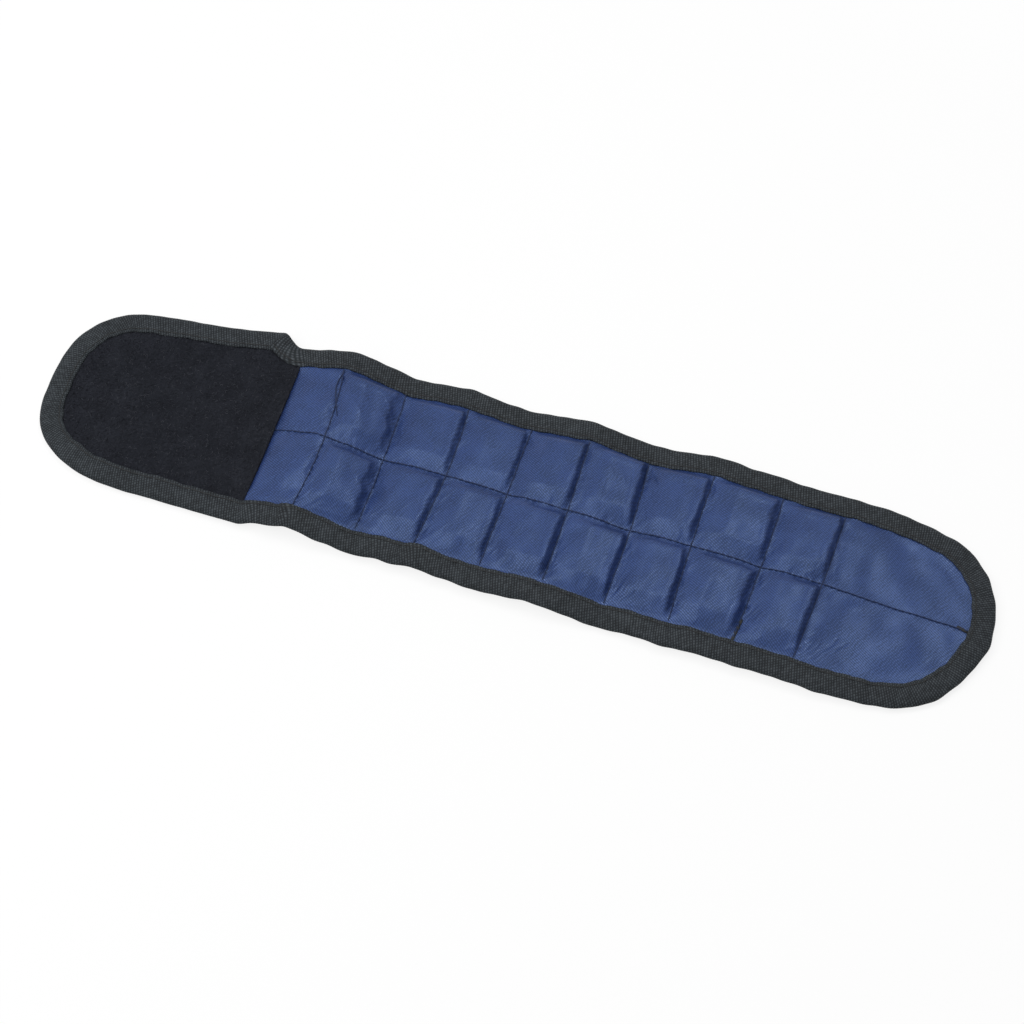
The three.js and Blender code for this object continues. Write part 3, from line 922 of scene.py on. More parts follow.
def cloth_relief(x, y, depth, free):
    """What the settling leaves out: waves in tongue, stub and pads, and puckers beside the seams."""
    clear_of_tape = smoothstep((depth - TAPE_FACE) / TAPE_FADE)
    in_stub = smoothstep((SEAM_X[0] - x) / STUB_FADE) * smoothstep((x - JUNCTION_X) / STUB_FADE)
    in_stub = in_stub * clear_of_tape
    in_tongue = smoothstep(np.abs(y) / TONGUE_MIDDLE_FADE) * smoothstep((x - SEAM_X[-1]) / TONGUE_FADE)
    in_tongue = in_tongue * clear_of_tape
    relief = TONGUE_WAVE * soft_noise(x.shape, passes=90, seed=33) * in_tongue
    stub_wave = STUB_WAVE * soft_noise(x.shape, passes=40, seed=34)
    relief += stub_wave * in_stub * smoothstep(np.abs(y) / STUB_FADE)
    relief += PAD_WAVE * soft_noise(x.shape, passes=24, seed=35) * in_columns(x) * clear_of_tape
    from_seam = np.abs((x - FIRST_SEAM_X + COLUMN_PITCH / 2) % COLUMN_PITCH - COLUMN_PITCH / 2)
    beside = np.exp(-(from_seam / PUCKER_REACH)**2)
    beside = beside * (x < SEAM_X[-1] + PUCKER_END) * (x > SEAM_X[0] - PUCKER_END)
    beside_middle = np.exp(-(y / PUCKER_REACH)**2) * (x > JUNCTION_X)
    beside_middle = beside_middle * smoothstep((SEAM_X[-1] + MIDDLE_PUCKER_END - x) / MIDDLE_PUCKER_END)
    beside = np.maximum(beside, beside_middle)
    return relief + PUCKER * soft_noise(x.shape, passes=3, seed=36) * beside * free * clear_of_tape


def front_cloth():
    """The settled blue cloth: its points, its places in the flat cloth, and its grid."""
    x, y, hinges = front_grid()
    grid_x, grid_y = np.meshgrid(x, y, indexing="ij")
    depth = inset_of(grid_x, grid_y)
    middle = HALF_CELLS + EDGE_CELLS
    shown = (depth > TAPE_FACE - HELD_AT_TAPE) & (grid_x > JUNCTION_X - HELD_AT_JUNCTION)
    free = np.where(shown, 1.0, 0.0)
    for seam in hinges[1:]:
        free[seam, middle % STITCH_CELLS::STITCH_CELLS] = 0
    free[hinges[0] % ALONG_STITCH_CELLS::ALONG_STITCH_CELLS, middle] = 0
    sewn_x = grid_x + drift(grid_x, grid_y)
    ground = pad_ground(sewn_x, grid_y)
    ease = CLOTH_EASE + EASE_SPREAD * soft_noise(grid_x.shape, passes=10, seed=32)
    cell_x = np.hypot(np.gradient(sewn_x, axis=0), np.gradient(ground, axis=0)) * (1 + ease)
    cell_y = np.hypot(y[1] - y[0], np.gradient(ground, axis=1)) * (1 + ease)
    start = ground + START_GAP + START_BUMPS * soft_noise(grid_x.shape, passes=3, seed=31)
    sewn_height = slack_height(grid_x, grid_y) + STITCH_RISE
    sewn_height = np.where(grid_x < JUNCTION_X - TUCK_GAP, TUCK_HEIGHT, sewn_height)
    start = np.where(free > 0, start, sewn_height)
    points = np.stack([sewn_x, grid_y, start], 2)
    steps = SETTLE_STEPS
    points = settle(points, free, cell_x, cell_y, pad_ground, steps)
    loose = pad_ground(points[..., 0], points[..., 1]) + CLOTH_CLING
    points[..., 2] = np.where(free > 0, np.minimum(points[..., 2], loose), points[..., 2])
    inner = points[1:-1, 1:-1]
    around = (points[2:, 1:-1] + points[:-2, 1:-1] + points[1:-1, 2:] + points[1:-1, :-2]) / 4
    points[1:-1, 1:-1] = inner + CLOTH_ROUNDING * (around - inner) * free[1:-1, 1:-1, None]
    points[..., 2] += cloth_relief(grid_x, grid_y, depth, free)
    points[..., 2] += lift(points[..., 0], points[..., 1])
    return points, np.stack([grid_x, grid_y], 2), depth, x, hinges


FRONT, FRONT_PLACES, FRONT_DEPTH, FRONT_X, FRONT_HINGES = front_cloth()
FRONT_MIDDLE = HALF_CELLS + EDGE_CELLS


def cell_depth(depth):
    """Depth inside the edge at the centre of each grid cell."""
    return (depth[:-1, :-1] + depth[1:, :-1] + depth[1:, 1:] + depth[:-1, 1:]) / 4


def bay_pieces(prefix, points, places, depth, x, cover, thickness, material, down=False):
    """Cuts a long cloth between the hinges, so that each piece holds one hinge."""
    normals = grid_normals(points)
    if down:
        points = points + normals * thickness
    shown = cell_depth(depth) > cover
    cuts = [0, *(int(np.argmin(np.abs(x - split))) for split in SPLIT_X), len(x) - 1]
    pieces = []
    for k, (start, end) in enumerate(zip(cuts, cuts[1:])):
        part = (slice(start, end + 1), slice(None))
        pieces.append(slab(f"{prefix}_{k}", points[part], normals[part], shown[start:end], thickness,
                           places[part], material))
    return pieces


def bay_nodes(first, kinds, last):
    """The solids that stand in each bay: those of the first, of the columns by kind, and of the last."""
    return [first, *([f"column_{k + 1}_{kind}" for kind in kinds] for k in range(COLUMN_COUNT)), last]


FRONT_NODES = bay_nodes(["stub_front"], ["front"], ["tongue_front"])
fronts = bay_pieces("blue_cloth", FRONT, FRONT_PLACES, FRONT_DEPTH, FRONT_X, TAPE_FACE - CLOTH_UNDER_TAPE,
                    CLOTH_THICKNESS, BLUE_TWILL)
for k, piece in enumerate(fronts):
    bend_at(piece, k)
    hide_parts(*FRONT_NODES[k])

# The lining on the back

LINING_STEP = 1.6
LINING_STEP_START = 1.0
LINING_SEAM_FADE = 2
LINING_SEAM_REACH = 1.3
LINING_SEAM_RISE = 0.45
LINING_INSET = 1.2
LINING_HALF_WIDTH = 40.0
TAB_LINING_CELLS = 84
STUB_LINING_CELLS = 20
COLUMN_LINING_CELLS = 26
TONGUE_LINING_CELLS = 62
ACROSS_LINING_LINES = 91


def lining_height(x, y, depth):
    """Under side of the lining: it steps over the tape and is drawn up at the seams."""
    over_tape = TAPE_THICKNESS * smoothstep((TAPE_FACE + LINING_STEP_START - depth) / LINING_STEP)
    seam = np.zeros(np.shape(x))
    x = x - drift(x, y)
    for seam_x in SEAM_X:
        seam = np.maximum(seam, np.exp(-((x - seam_x) / LINING_SEAM_REACH)**2))
    middle = np.exp(-(y / LINING_SEAM_REACH)**2) * smoothstep((x - JUNCTION_X) / LINING_SEAM_FADE)
    seam = np.maximum(seam, middle)
    seam *= smoothstep((depth - TAPE_FACE) / LINING_SEAM_FADE)
    return over_tape + LINING_SEAM_RISE * seam


def lining_grid():
    """The under side of the lining as a grid of points."""
    spans = [(LEFT_END_X, JUNCTION_X, TAB_LINING_CELLS), (JUNCTION_X, SEAM_X[0], STUB_LINING_CELLS)]
    spans += [(a, b, COLUMN_LINING_CELLS) for a, b in zip(SEAM_X, SEAM_X[1:])]
    spans += [(SEAM_X[-1], RIGHT_END_X, TONGUE_LINING_CELLS)]
    x, _ = stations(spans)
    y = np.linspace(-LINING_HALF_WIDTH, LINING_HALF_WIDTH, ACROSS_LINING_LINES)
    grid_x, grid_y = np.meshgrid(x, y, indexing="ij")
    depth = inset_of(grid_x, grid_y)
    height = lining_height(grid_x, grid_y, depth) + lift(grid_x, grid_y)
    return np.stack([grid_x, grid_y, height], 2), np.stack([grid_x, grid_y], 2), depth, x


LINING_NODES = bay_nodes(["tab_lining", "stub_lining"], ["lining"], ["tongue_lining"])
linings = bay_pieces("lining", *lining_grid(), LINING_INSET, LINING_THICKNESS, PLAIN_WEAVE, down=True)
for k, piece in enumerate(linings):
    bend_at(piece, k)
    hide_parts(*LINING_NODES[k])

# The binding tape

# Section of the folded tape, round its outer side and back inside: (distance from the fold, height)
TAPE_SKIN = [(8.40, 2.90), (8.30, 3.18), (7.90, 3.36), (7.45, 3.40), (7.00, 3.31), (6.60, 3.34), (6.10, 3.42),
             (5.50, 3.44), (4.90, 3.42), (4.30, 3.39), (3.70, 3.34), (3.10, 3.27), (2.50, 3.18), (1.90, 3.05),
             (1.35, 2.88), (0.85, 2.62), (0.42, 2.26), (0.12, 1.80), (0.00, 1.45), (0.10, 1.00), (0.35, 0.58),
             (0.80, 0.26), (1.50, 0.08), (2.60, 0.02), (3.80, 0.00), (5.20, 0.00), (6.60, 0.02), (7.80, 0.04),
             (8.40, 0.16)]
TAPE_INSIDE = [(8.30, 0.62), (6.60, 0.66), (3.80, 0.66), (1.80, 0.70), (0.90, 1.00), (0.66, 1.45),
               (0.90, 2.00), (1.80, 2.42), (3.80, 2.66), (6.60, 2.74), (8.30, 2.72)]
SECTION = np.array(TAPE_SKIN + TAPE_INSIDE)
FOLD_BUNCH_X = -98.0
FOLD_BUNCH_HEIGHT = 0.9
FOLD_BUNCH_WIDTH = 3.2
FOLD_BUNCH_BASE = 1.2
TAPE_SWAY = 0.35
TAB_SWAY_SHARE = 0.3
TAB_SWAY_END_X = -105.0
TAB_SWAY_RUN = 20.0
TAPE_FACE_SWAY = 0.05
TAPE_PUFF = 0.07
SWAY_WAVES = (9, 14, 23, 37)
FACE_WAVES = (7, 12, 19, 31)
PUFF_WAVES = (6, 10, 17)


def waviness(lengths, seed):
    """A smooth closed ripple along the edge, about 1 high, made of waves of some lengths."""
    phases = np.random.default_rng(seed).uniform(0, TURN, len(lengths))
    waves = [np.sin(TURN * round(EDGE_LENGTH / length) * EDGE_RUN / EDGE_LENGTH + phase)
             for length, phase in zip(lengths, phases)]
    return np.sum(waves, 0) / len(lengths)


def tape_points():
    """Points of the folded tape all the way round: one section at each sample of the edge."""
    off_tab = smoothstep((EDGE[:, 0] - TAB_SWAY_END_X) / TAB_SWAY_RUN)
    sway = TAPE_SWAY * waviness(SWAY_WAVES, seed=5) * (TAB_SWAY_SHARE + (1 - TAB_SWAY_SHARE) * off_tab)
    face = 1 + TAPE_FACE_SWAY * waviness(FACE_WAVES, seed=6)
    puff = 1 + TAPE_PUFF * waviness(PUFF_WAVES, seed=8)
    reach = SECTION[None, :, 0] * face[:, None] + sway[:, None] * (1 - SECTION[None, :, 0] / TAPE_FACE)
    plan = EDGE[:, None, :] + INWARD[:, None, :] * reach[..., None]
    bunch = FOLD_BUNCH_HEIGHT * np.exp(-((EDGE[:, 0] - FOLD_BUNCH_X) / FOLD_BUNCH_WIDTH)**2)
    bunch = bunch * (EDGE[:, 1] > 0)
    height = SECTION[None, :, 1] * puff[:, None] + bunch[:, None] * (SECTION[None, :, 1] > FOLD_BUNCH_BASE)
    height = height + lift(plan[..., 0], plan[..., 1])
    return np.concatenate([plan, height[..., None]], 2)


TAPE = tape_points()


def edge_index(x, far_side):
    """Index of the edge sample nearest to a place along the strap, on its far or near side."""
    side = EDGE[:, 1] > 0 if far_side else EDGE[:, 1] < 0
    return int(np.argmin(np.where(side, np.abs(EDGE[:, 0] - x), 1e6)))


def tape_runs(k):
    """Ranges of edge samples in one bay: two on the sides, one round an end."""
    if k == 0:
        return [(edge_index(SPLIT_X[0], False), edge_index(SPLIT_X[0], True) + EDGE_COUNT)]
    if k == COLUMN_COUNT + 1:
        return [(edge_index(SPLIT_X[-1], True), edge_index(SPLIT_X[-1], False))]
    left, right = SPLIT_X[k - 1], SPLIT_X[k]
    return [(edge_index(left, True), edge_index(right, True)),
            (edge_index(right, False), edge_index(left, False))]


def tape_piece(k):
    """The tape of one bay as a closed mesh with ribs."""
    points, faces, along, places = [], [], [], []
    ring = len(SECTION)
    skin_run = np.concatenate([[0], np.cumsum(np.linalg.norm(np.diff(SECTION, axis=0), axis=1))])
    for start, end in tape_runs(k):
        chosen = np.arange(start, end + 1)
        base = sum(len(p) for p in points)
        points.append(TAPE[chosen % EDGE_COUNT].reshape(-1, 3))
        run = chosen * (EDGE_LENGTH / EDGE_COUNT)
        rib_run = EDGE_LENGTH * math.cos(RIB_SLANT) / RIB_PITCH
        run = run * (round(rib_run) / rib_run)
        place = np.stack([np.repeat(run, ring), np.tile(skin_run, len(chosen))], 1)
        along.append(place @ (math.cos(RIB_SLANT), math.sin(RIB_SLANT)))
        places.append(place)
        step, turn = np.meshgrid(np.arange(len(chosen) - 1), np.arange(ring), indexing="ij")
        after = (turn + 1) % ring
        quads = np.stack([step * ring + turn, (step + 1) * ring + turn, (step + 1) * ring + after,
                          step * ring + after], 2).reshape(-1, 4) + base
        faces.extend(quads.tolist())
        last = base + (len(chosen) - 1) * ring
        faces.append(list(range(base, base + ring)))
        faces.append(list(range(last + ring - 1, last - 1, -1)))
    name = f"binding_tape_{k}"
    mesh = new_mesh(name, np.concatenate(points), [], faces)
    set_weave(mesh, np.concatenate(places))
    set_floats(mesh, "along", np.concatenate(along))
    piece = new_object(name, mesh, WOVEN_TAPE)
    return grown(piece, RIBS, material=WOVEN_TAPE)


BINDING_NODES = bay_nodes(["tab_binding", "stub_binding_upper", "stub_binding_lower"],
                          ["binding_upper", "binding_lower"], ["tongue_binding"])
for k in range(len(HINGE_X)):
    piece = tape_piece(k)
    run = sum(end - start for start, end in tape_runs(k)) * EDGE_LENGTH / EDGE_COUNT
    bend_at(piece, k)
    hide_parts(*BINDING_NODES[k])

# The loop panel on the tab

LOOP_HALF_WIDTH = 39.0
LOOP_CELLS = 100
LOOP_LINES = 92
LOOP_LUMPS = 0.5
LOOP_LUMP_PASSES = 6
LOOP_TUCK = 0.45
LOOP_TUCK_START = 1.5
LOOP_TUCK_RUN = 2.5
LOOP_THICKNESS = 0.7
LOOP_OVERLAP = 0.6
LOOP_UNDER_TAPE = 3.0


def loop_panel():
    """Ground of the loop panel, slightly lumpy, with its cut edge beside the blue cloth."""
    x, _ = stations([(LEFT_END_X, JUNCTION_X + LOOP_OVERLAP, LOOP_CELLS)])
    y = np.linspace(-LOOP_HALF_WIDTH, LOOP_HALF_WIDTH, LOOP_LINES)
    grid_x, grid_y = np.meshgrid(x, y, indexing="ij")
    depth = inset_of(grid_x, grid_y)
    bumps = random.normal(0, 1, grid_x.shape)
    for _ in range(LOOP_LUMP_PASSES):
        along = np.roll(bumps, 1, 0) + np.roll(bumps, -1, 0)
        bumps = (bumps + along + np.roll(bumps, 1, 1) + np.roll(bumps, -1, 1)) / 5
    under_tape = smoothstep((TAPE_FACE + LOOP_TUCK_START - depth) / LOOP_TUCK_RUN)
    height = LOOP_TOP + LOOP_LUMPS * bumps - LOOP_TUCK * under_tape + lift(grid_x, grid_y)
    points = np.stack([grid_x, grid_y, height], 2)
    kept = cell_depth(depth) > TAPE_FACE - LOOP_UNDER_TAPE
    return slab("loop_panel_ground", points, grid_normals(points), kept, LOOP_THICKNESS, points[..., :2],
                PILE_GROUND)


loop_ground = loop_panel()
loop_pile = new_object("loop_pile", loop_ground.data.copy(), PILE_FIBRE)
grown(loop_pile, PILE_LOOPS, material=PILE_FIBRE)
for piece in (loop_ground, loop_pile):
    bend_at(piece, 0)
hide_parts("loop_panel")

# The hook patch under the tongue

HOOK_INSET = 11.0
HOOK_ROOT_X = SEAM_X[-1] + 5.0
HOOK_PITCH = 1.5
HOOK_GROUND = 0.5
HOOK_BOTTOM = -0.35
HOOK_STAND = -0.45
HOOK_ROW_INSET = 12.0
HOOK_ROW_START = 1.2
HOOK_ROW_REACH = 30.0
HOOK_ROOT_POINTS = 24
HOOK_OUTLINE_STEP = 8
HOOK_RIM = 0.985
HOOK_RIM_RISE = 0.05
HOOK_CUT_RISE = 0.12


def hook_outline():
    """Outline of the hook patch: the tongue's edge, moved in, and a straight root."""
    line = EDGE + INWARD * HOOK_INSET
    chosen = line[(line[:, 0] > HOOK_ROOT_X) & (EDGE[:, 0] > HOOK_ROOT_X)][::HOOK_OUTLINE_STEP]
    gaps = np.linalg.norm(chosen - np.roll(chosen, 1, 0), axis=1)
    chosen = np.roll(chosen, -int(np.argmax(gaps)), 0)
    share = np.linspace(0, 1, HOOK_ROOT_POINTS + 2)[1:-1, None]
    root = chosen[-1] + (chosen[0] - chosen[-1]) * share
    return np.concatenate([chosen, root])


def hook_ground():
    """Base of the hook patch, in rings from its outline to its middle."""
    outline = hook_outline()
    centre = outline.mean(0)
    top = HOOK_GROUND + HOOK_RIM_RISE
    levels = [(HOOK_RIM, 0.0), (1.0, HOOK_CUT_RISE), (1.0, HOOK_GROUND), (HOOK_RIM, top)]
    shrink = [tenths / 10 for tenths in range(9, 0, -1)]
    rings = [(share, 0.0) for share in reversed(shrink)] + levels + [(share, top) for share in shrink]
    count = len(outline)
    points = []
    for share, rise in rings:
        plan = centre + (outline - centre) * share
        points.append(np.column_stack([plan, HOOK_BOTTOM + rise + lift(plan[:, 0], plan[:, 1])]))
    points = np.concatenate(points)
    faces = []
    for ring in range(len(rings) - 1):
        for step in range(count):
            after = (step + 1) % count
            faces.append((ring * count + step, ring * count + after, (ring + 1) * count + after,
                          (ring + 1) * count + step))
    faces.append(tuple(range(count - 1, -1, -1)))
    faces.append(tuple(range((len(rings) - 1) * count, len(rings) * count)))
    mesh = new_mesh("hook_patch_ground", points, [], faces)
    shape = bmesh.new()
    shape.from_mesh(mesh)
    bmesh.ops.recalc_face_normals(shape, faces=shape.faces)
    shape.to_mesh(mesh)
    shape.free()
    return new_object("hook_patch_ground", mesh, HOOK_NYLON)


def hook_points():
    """The rows of hooks as bare points."""
    x = np.arange(HOOK_ROOT_X + HOOK_ROW_START, RIGHT_END_X, HOOK_PITCH)
    y = np.arange(-HOOK_ROW_REACH, HOOK_ROW_REACH + HOOK_PITCH / 2, HOOK_PITCH)
    grid_x, grid_y = np.meshgrid(x, y, indexing="ij")
    inside = inset_of(grid_x, grid_y) > HOOK_ROW_INSET
    plan = np.stack([grid_x[inside], grid_y[inside]], 1)
    points = np.column_stack([plan, HOOK_STAND + lift(plan[:, 0], plan[:, 1])])
    return new_object("hook_rows", new_mesh("hook_rows", points, [], []), HOOK_NYLON)


hook_base = hook_ground()
hook_wires = grown(hook_points(), HOOK_ROWS, material=HOOK_NYLON)
for piece in (hook_base, hook_wires):
    bend_at(piece, COLUMN_COUNT + 1)
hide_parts("hook_patch")

# Sewing

SEAM_TONE = 0.0
TAPE_TONE = 0.7
TAPE_STITCH_INSET = 7.0
TAPE_STITCH_LENGTH = 2.7
LINING_DROP = 0.08
SEAM_THREAD_RISE = 0.14
SEAM_UNDER_TAPE = 1.0
TAPE_THREAD_RISE = 0.02
BAR_TACK_RISE = 0.22
BACK_TACK_RISE = 0.2
TAIL_RISE = 0.05
BAR_TACK_SLANT = 0.15
BAR_TACK = [(160.6, 0.5), (164.8, -0.5)]
BAR_TACK_ROWS = 3
BAR_TACK_PITCH = 0.36
BACK_TACK = [(89.9, -20.8), (88.9, -29.6)]
BACK_TACK_STITCHES = 4
BACK_TACK_ASIDE = (-0.3, 0.0, 0.3)
LOOSE_TAIL = [(-72.8, 28.6), (-73.6, 25.5), (-73.7, 22.0), (-72.9, 18.8), (-71.6, 15.5), (-70.2, 12.2),
              (-68.7, 9.1)]
LOOSE_TAIL_STEPS = 26
TAIL_PASSES = 4


class Sewing:
    """Stitches gathered bay by bay: each is two needle holes, a side and a tone."""

    def __init__(self):
        self.bays = [[] for _ in HINGE_X]

    def add(self, a, b, side, tone):
        """Puts a stitch into the bay in which its middle lies."""
        middle = (a[0] + b[0]) / 2
        bay = int(np.searchsorted(SPLIT_X, middle))
        self.bays[bay].append((a, b, side, tone))

    def line(self, holes, side, tone):
        """Sews a row of stitches from hole to hole."""
        for a, b in zip(holes, holes[1:]):
            self.add(a, b, side, tone)


def back_hole(point):
    """The needle hole on the back, under one on the front."""
    depth = inset_of(point[0], point[1])
    height = lining_height(point[0], point[1], depth) + lift(point[0], point[1])
    return np.array([point[0], point[1], height - LINING_DROP])


def seam_holes():
    """Needle holes of the nine cross seams and of the seam along the middle."""
    raise_thread = np.array([0, 0, SEAM_THREAD_RISE])
    lines = []
    shown = FRONT_DEPTH > TAPE_FACE - SEAM_UNDER_TAPE
    for seam in FRONT_HINGES[1:]:
        holes = [j for j in range(FRONT.shape[1]) if j % STITCH_CELLS == FRONT_MIDDLE % STITCH_CELLS]
        lines.append([FRONT[seam, j] + raise_thread for j in holes if shown[seam, j]])
    first = FRONT_HINGES[0]
    along = range(first, FRONT.shape[0], ALONG_STITCH_CELLS)
    lines.append([FRONT[i, FRONT_MIDDLE] + raise_thread for i in along if shown[i, FRONT_MIDDLE]])
    stray = np.array([NEEDLE_STRAY, NEEDLE_STRAY, 0])
    return [[hole + random.uniform(-stray, stray) for hole in line] for line in lines]


def on_cloth(x, y, rise):
    """A point that lies on the blue cloth."""
    nearest = np.argmin((FRONT[..., 0] - x)**2 + (FRONT[..., 1] - y)**2)
    return np.array([x, y, FRONT.reshape(-1, 3)[nearest, 2] + rise])


def tacks(sewing):
    """The bar tack at the end of the middle seam, and the sewing back at the near end of a cross seam."""
    for row in range(BAR_TACK_ROWS):
        aside = (row - (BAR_TACK_ROWS - 1) / 2) * BAR_TACK_PITCH
        ends = [on_cloth(x + BAR_TACK_SLANT * aside, y + aside, BAR_TACK_RISE) for x, y in BAR_TACK]
        sewing.add(*ends, 1, TAPE_TONE)
    for aside in BACK_TACK_ASIDE:
        share = np.linspace(0, 1, BACK_TACK_STITCHES + 1)
        (x0, y0), (x1, y1) = BACK_TACK
        holes = [on_cloth(x0 + (x1 - x0) * t + aside, y0 + (y1 - y0) * t, BACK_TACK_RISE) for t in share]
        sewing.line(holes, 1, TAPE_TONE)


def sew():
    """All stitches: seams on both faces, and the line that holds the tape on both faces."""
    sewing = Sewing()
    tacks(sewing)
    for line in seam_holes():
        sewing.line(line, 1, SEAM_TONE)
        sewing.line([back_hole(p) for p in line], -1, SEAM_TONE)
    step = int(round(TAPE_STITCH_LENGTH / (EDGE_LENGTH / EDGE_COUNT)))
    half = len(TAPE_SKIN) // 2
    from_line = np.abs(SECTION[:len(TAPE_SKIN), 0] - TAPE_STITCH_INSET)
    upper = int(np.argmin(from_line[:half]))
    lower = half + int(np.argmin(from_line[half:]))
    for skin, side in ((upper, 1), (lower, -1)):
        raise_thread = np.array([0, 0, TAPE_THREAD_RISE * side])
        holes = [TAPE[i, skin] + raise_thread for i in range(0, EDGE_COUNT, step)]
        sewing.line([*holes, holes[0]], side, TAPE_TONE)
    return sewing


sewing = sew()
for k, stitches in enumerate(sewing.bays):
    name = f"stitches_{k}"
    holes = np.array([point for a, b, _, _ in stitches for point in (a, b)])
    mesh = new_mesh(name, holes, [(2 * i, 2 * i + 1) for i in range(len(stitches))], [])
    for label, place in (("side", 2), ("thread_tone", 3)):
        set_floats(mesh, label, np.repeat([stitch[place] for stitch in stitches], 2))
    piece = new_object(name, mesh, SEWING_THREAD)
    grown(piece, SEWN_THREAD, material=SEWING_THREAD)
    bend_at(piece, k)


def loose_tail():
    """The loose end of a thread that lies on the cloth beside the first cross seam."""
    share = np.linspace(0, len(LOOSE_TAIL) - 1, LOOSE_TAIL_STEPS)
    x, y = (np.interp(share, range(len(LOOSE_TAIL)), line) for line in zip(*LOOSE_TAIL))
    points = np.array([on_cloth(*place, THREAD_RADIUS + TAIL_RISE) for place in zip(x, y)])
    for _ in range(TAIL_PASSES):
        points[1:-1] = (points[:-2] + points[1:-1] + points[2:]) / 3
    mesh = new_mesh("thread_tail", points, [(i, i + 1) for i in range(len(points) - 1)], [])
    for label in ("side", "thread_tone"):
        set_floats(mesh, label, np.zeros(len(points)))
    piece = new_object("thread_tail", mesh, SEWING_THREAD)
    return grown(piece, SEWN_THREAD, steps=2 * LOOSE_TAIL_STEPS, material=SEWING_THREAD)


bend_at(loose_tail(), 1)

# Magnets in the pockets

MAGNET_SIZE = (15.0, 21.8, 1.8)
MAGNET_BEVEL = 0.5
MAGNET_MIDDLE = 1.95
MAGNET_SHIFT = 1.0
UPPER_MAGNET_SHIFT = 0.8
LOWER_MAGNET_SHIFT = 0.3


def column_magnets(k):
    """The two block magnets of one column, turned to lie on the folded lining."""
    name = f"column_{k + 1}_magnets"
    shape = bmesh.new()
    for _, row, block_x, block_y, angle, _, _ in PAD_BLOCKS[2 * k:2 * k + 2]:
        cx = block_x + MAGNET_SHIFT + float(drift(block_x, block_y))
        cy = block_y + (UPPER_MAGNET_SHIFT if row > 0 else LOWER_MAGNET_SHIFT)
        slope_x = (lift(cx + 1, cy) - lift(cx - 1, cy)) / 2
        slope_y = (lift(cx, cy + 1) - lift(cx, cy - 1)) / 2
        up = Vector((-slope_x, -slope_y, 1)).normalized()
        right = Vector((1, 0, slope_x)).normalized()
        ahead = up.cross(right)
        turn = Matrix((right, ahead, up)).transposed() @ Matrix.Rotation(angle, 3, "Z")
        place = Matrix.Translation(Vector((cx, cy, MAGNET_MIDDLE + float(lift(cx, cy)))) * MM) @ turn.to_4x4()
        size = Matrix.Diagonal((*(side * MM for side in MAGNET_SIZE), 1))
        block = bmesh.ops.create_cube(shape, size=1, matrix=place @ size)
        edges = {edge for vert in block["verts"] for edge in vert.link_edges}
        bmesh.ops.bevel(shape, geom=list(edges), offset=MAGNET_BEVEL * MM, segments=3, profile=0.5,
                        affect="EDGES")
    mesh = bpy.data.meshes.new(name)
    shape.to_mesh(mesh)
    shape.free()
    return new_object(name, mesh, MAGNET_METAL)


for k in range(COLUMN_COUNT):
    piece = column_magnets(k)
    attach(piece, f"column_{k + 1}")
    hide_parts(f"column_{k + 1}_magnet_upper", f"column_{k + 1}_magnet_lower")

# Camera, light and floor

CAMERA_AZIMUTH = math.radians(18.441)
CAMERA_ELEVATION = math.radians(61.560)
CAMERA_DISTANCE = 1030.19
CAMERA_TARGET = Vector((1.81, -6.11, 5.35))
FOCAL_PIXELS = 2942.68
FRAME_PIXELS = 1024
SENSOR_WIDTH = 36.0
FILL_LIGHT = 0.2
SHADOW_FADE = 0.8
SHADOW_END = (0.25, 0.8)
FLOOR_DROP = 0.4
FLOOR_HALF = 3.0
FLOOR_GLOW = 1.06
FLOOR_PAINT = 0.9
BAND_HEIGHT = 11.0


def photo_camera():
    """The camera at the photograph's viewing angle."""
    level = math.cos(CAMERA_ELEVATION)
    back = Vector((math.sin(CAMERA_AZIMUTH) * level, -math.cos(CAMERA_AZIMUTH) * level,
                   math.sin(CAMERA_ELEVATION)))
    right = Vector((math.cos(CAMERA_AZIMUTH), math.sin(CAMERA_AZIMUTH), 0))
    up = back.cross(right)
    data = bpy.data.cameras.new("photo_camera")
    data.sensor_width = SENSOR_WIDTH
    data.sensor_fit = "HORIZONTAL"
    data.lens = FOCAL_PIXELS / FRAME_PIXELS * SENSOR_WIDTH
    data.clip_start = 0.01
    data.clip_end = 20
    camera = bpy.data.objects.new("photo_camera", data)
    turn = Matrix((right, up, back)).transposed().to_4x4()
    camera.matrix_world = Matrix.Translation((CAMERA_TARGET + back * CAMERA_DISTANCE) * MM) @ turn
    bpy.context.scene.collection.objects.link(camera)
    bpy.context.scene.camera = camera


def softbox(name, place, size, power):
    """A flat lamp that looks at the middle of the band."""
    data = bpy.data.lights.new(name, "AREA")
    data.shape = "RECTANGLE"
    data.size, data.size_y = size
    data.energy = power
    lamp = bpy.data.objects.new(name, data)
    lamp.location = place
    lamp.rotation_euler = (-Vector(place)).to_track_quat("-Z", "Y").to_euler()
    bpy.context.scene.collection.objects.link(lamp)


def white_world():
    """Even fill light, with a plain white background for the camera and for reflections."""
    world = bpy.data.worlds.new("white_room")
    world.use_nodes = True
    bpy.context.scene.world = world
    graph = Graph(world.node_tree)
    background = graph.nodes["Background"]
    graph.join((1, 1, 1, 1), background.inputs["Color"])
    graph.join(graph.times(graph.seen(), 1 - FILL_LIGHT, FILL_LIGHT), background.inputs["Strength"])


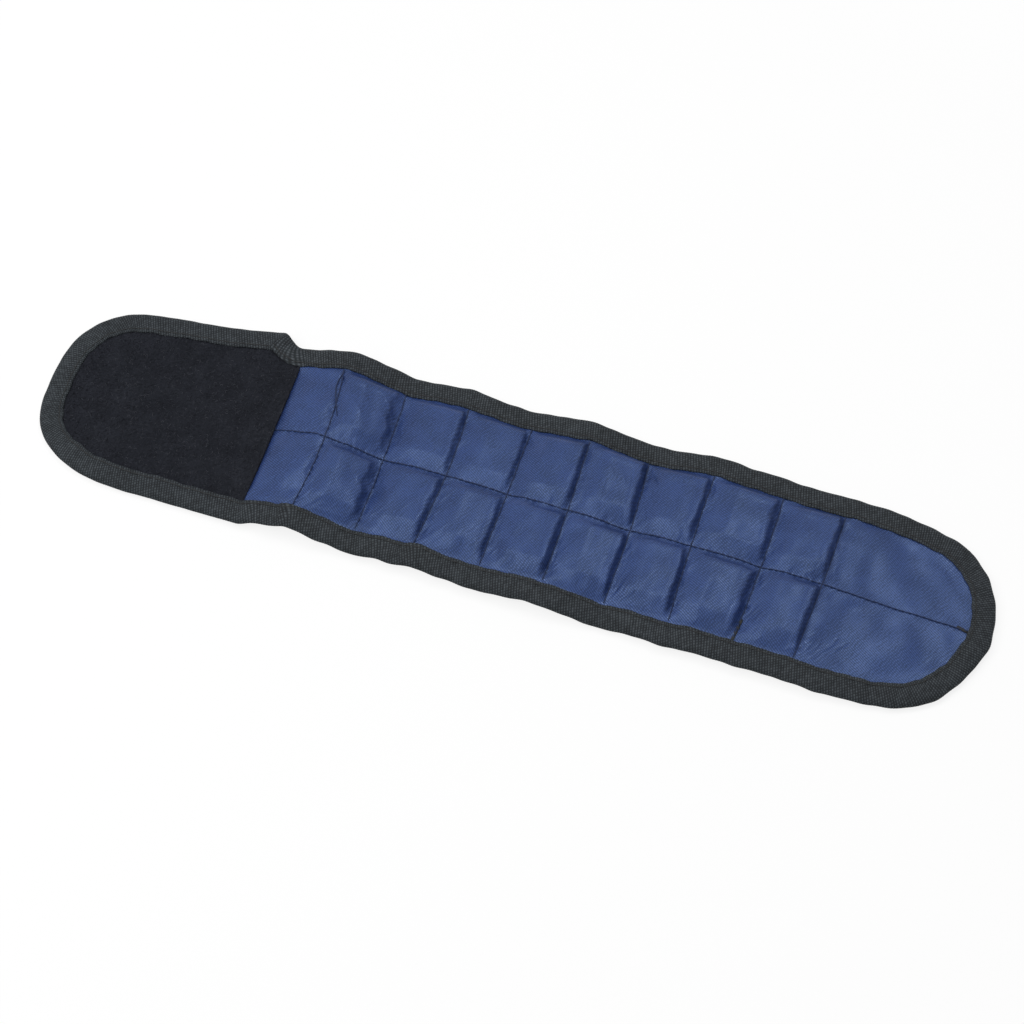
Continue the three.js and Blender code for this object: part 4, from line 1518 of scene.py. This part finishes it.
def lay_under(floor):
    """Keeps the floor under the band's lowest point, also where the band is rolled up."""
    ends = [LEFT_END_X, *HINGE_X, RIGHT_END_X]
    for body, *sides in zip(BODIES, ends, ends[1:]):
        for x in sides:
            for z in (0, BAND_HEIGHT):
                mark = bpy.data.objects.new("floor_mark", None)
                bpy.context.scene.collection.objects.link(mark)
                mark.parent = frame["bodies"][body]
                mark.location = (x * MM, 0, z * MM)
                under = floor.constraints.new("FLOOR")
                under.target = mark
                under.floor_location = "FLOOR_NEGATIVE_Z"
                under.offset = -FLOOR_DROP * MM


def pale_floor():
    """A floor that is white to the camera and keeps a faint shadow."""
    mesh = bpy.data.meshes.new("floor")
    corners = [(-1, -1), (1, -1), (1, 1), (-1, 1)]
    mesh.from_pydata([(x * FLOOR_HALF, y * FLOOR_HALF, 0) for x, y in corners], [], [(0, 1, 2, 3)])
    floor = bpy.data.objects.new("floor", mesh)
    bpy.context.scene.collection.objects.link(floor)
    lay_under(floor)
    paint, graph, shader = new_material("floor_white")
    graph.join((FLOOR_PAINT, FLOOR_PAINT, FLOOR_PAINT, 1), shader.inputs["Base Color"])
    graph.join(FLOOR_PAINT, shader.inputs["Roughness"])
    glow = graph.add("ShaderNodeEmission", {"Strength": FLOOR_GLOW})
    away = graph.add("ShaderNodeVectorMath", {0: graph.object_place()}, operation="LENGTH")
    fade = graph.add("ShaderNodeMapRange", {
        "Value": away.outputs["Value"], "From Min": SHADOW_END[0], "From Max": SHADOW_END[1],
        "To Min": SHADOW_FADE, "To Max": 1.0})
    shown = graph.times(graph.seen(), fade.outputs["Result"])
    mix = graph.add("ShaderNodeMixShader", {"Fac": shown, 1: shader.outputs[0], 2: glow.outputs[0]})
    graph.join(mix.outputs[0], graph.nodes["Material Output"].inputs["Surface"])
    mesh.materials.append(paint)


photo_camera()
softbox("overhead_light", place=(-0.55, -0.25, 1.05), size=(0.9, 0.9), power=8.0)
softbox("sheen_light", place=(0.10, 0.42, 1.15), size=(0.28, 0.50), power=3.5)
white_world()
pale_floor()
bpy.context.scene.view_settings.view_transform = "Standard"

bpy.context.view_layer.update()
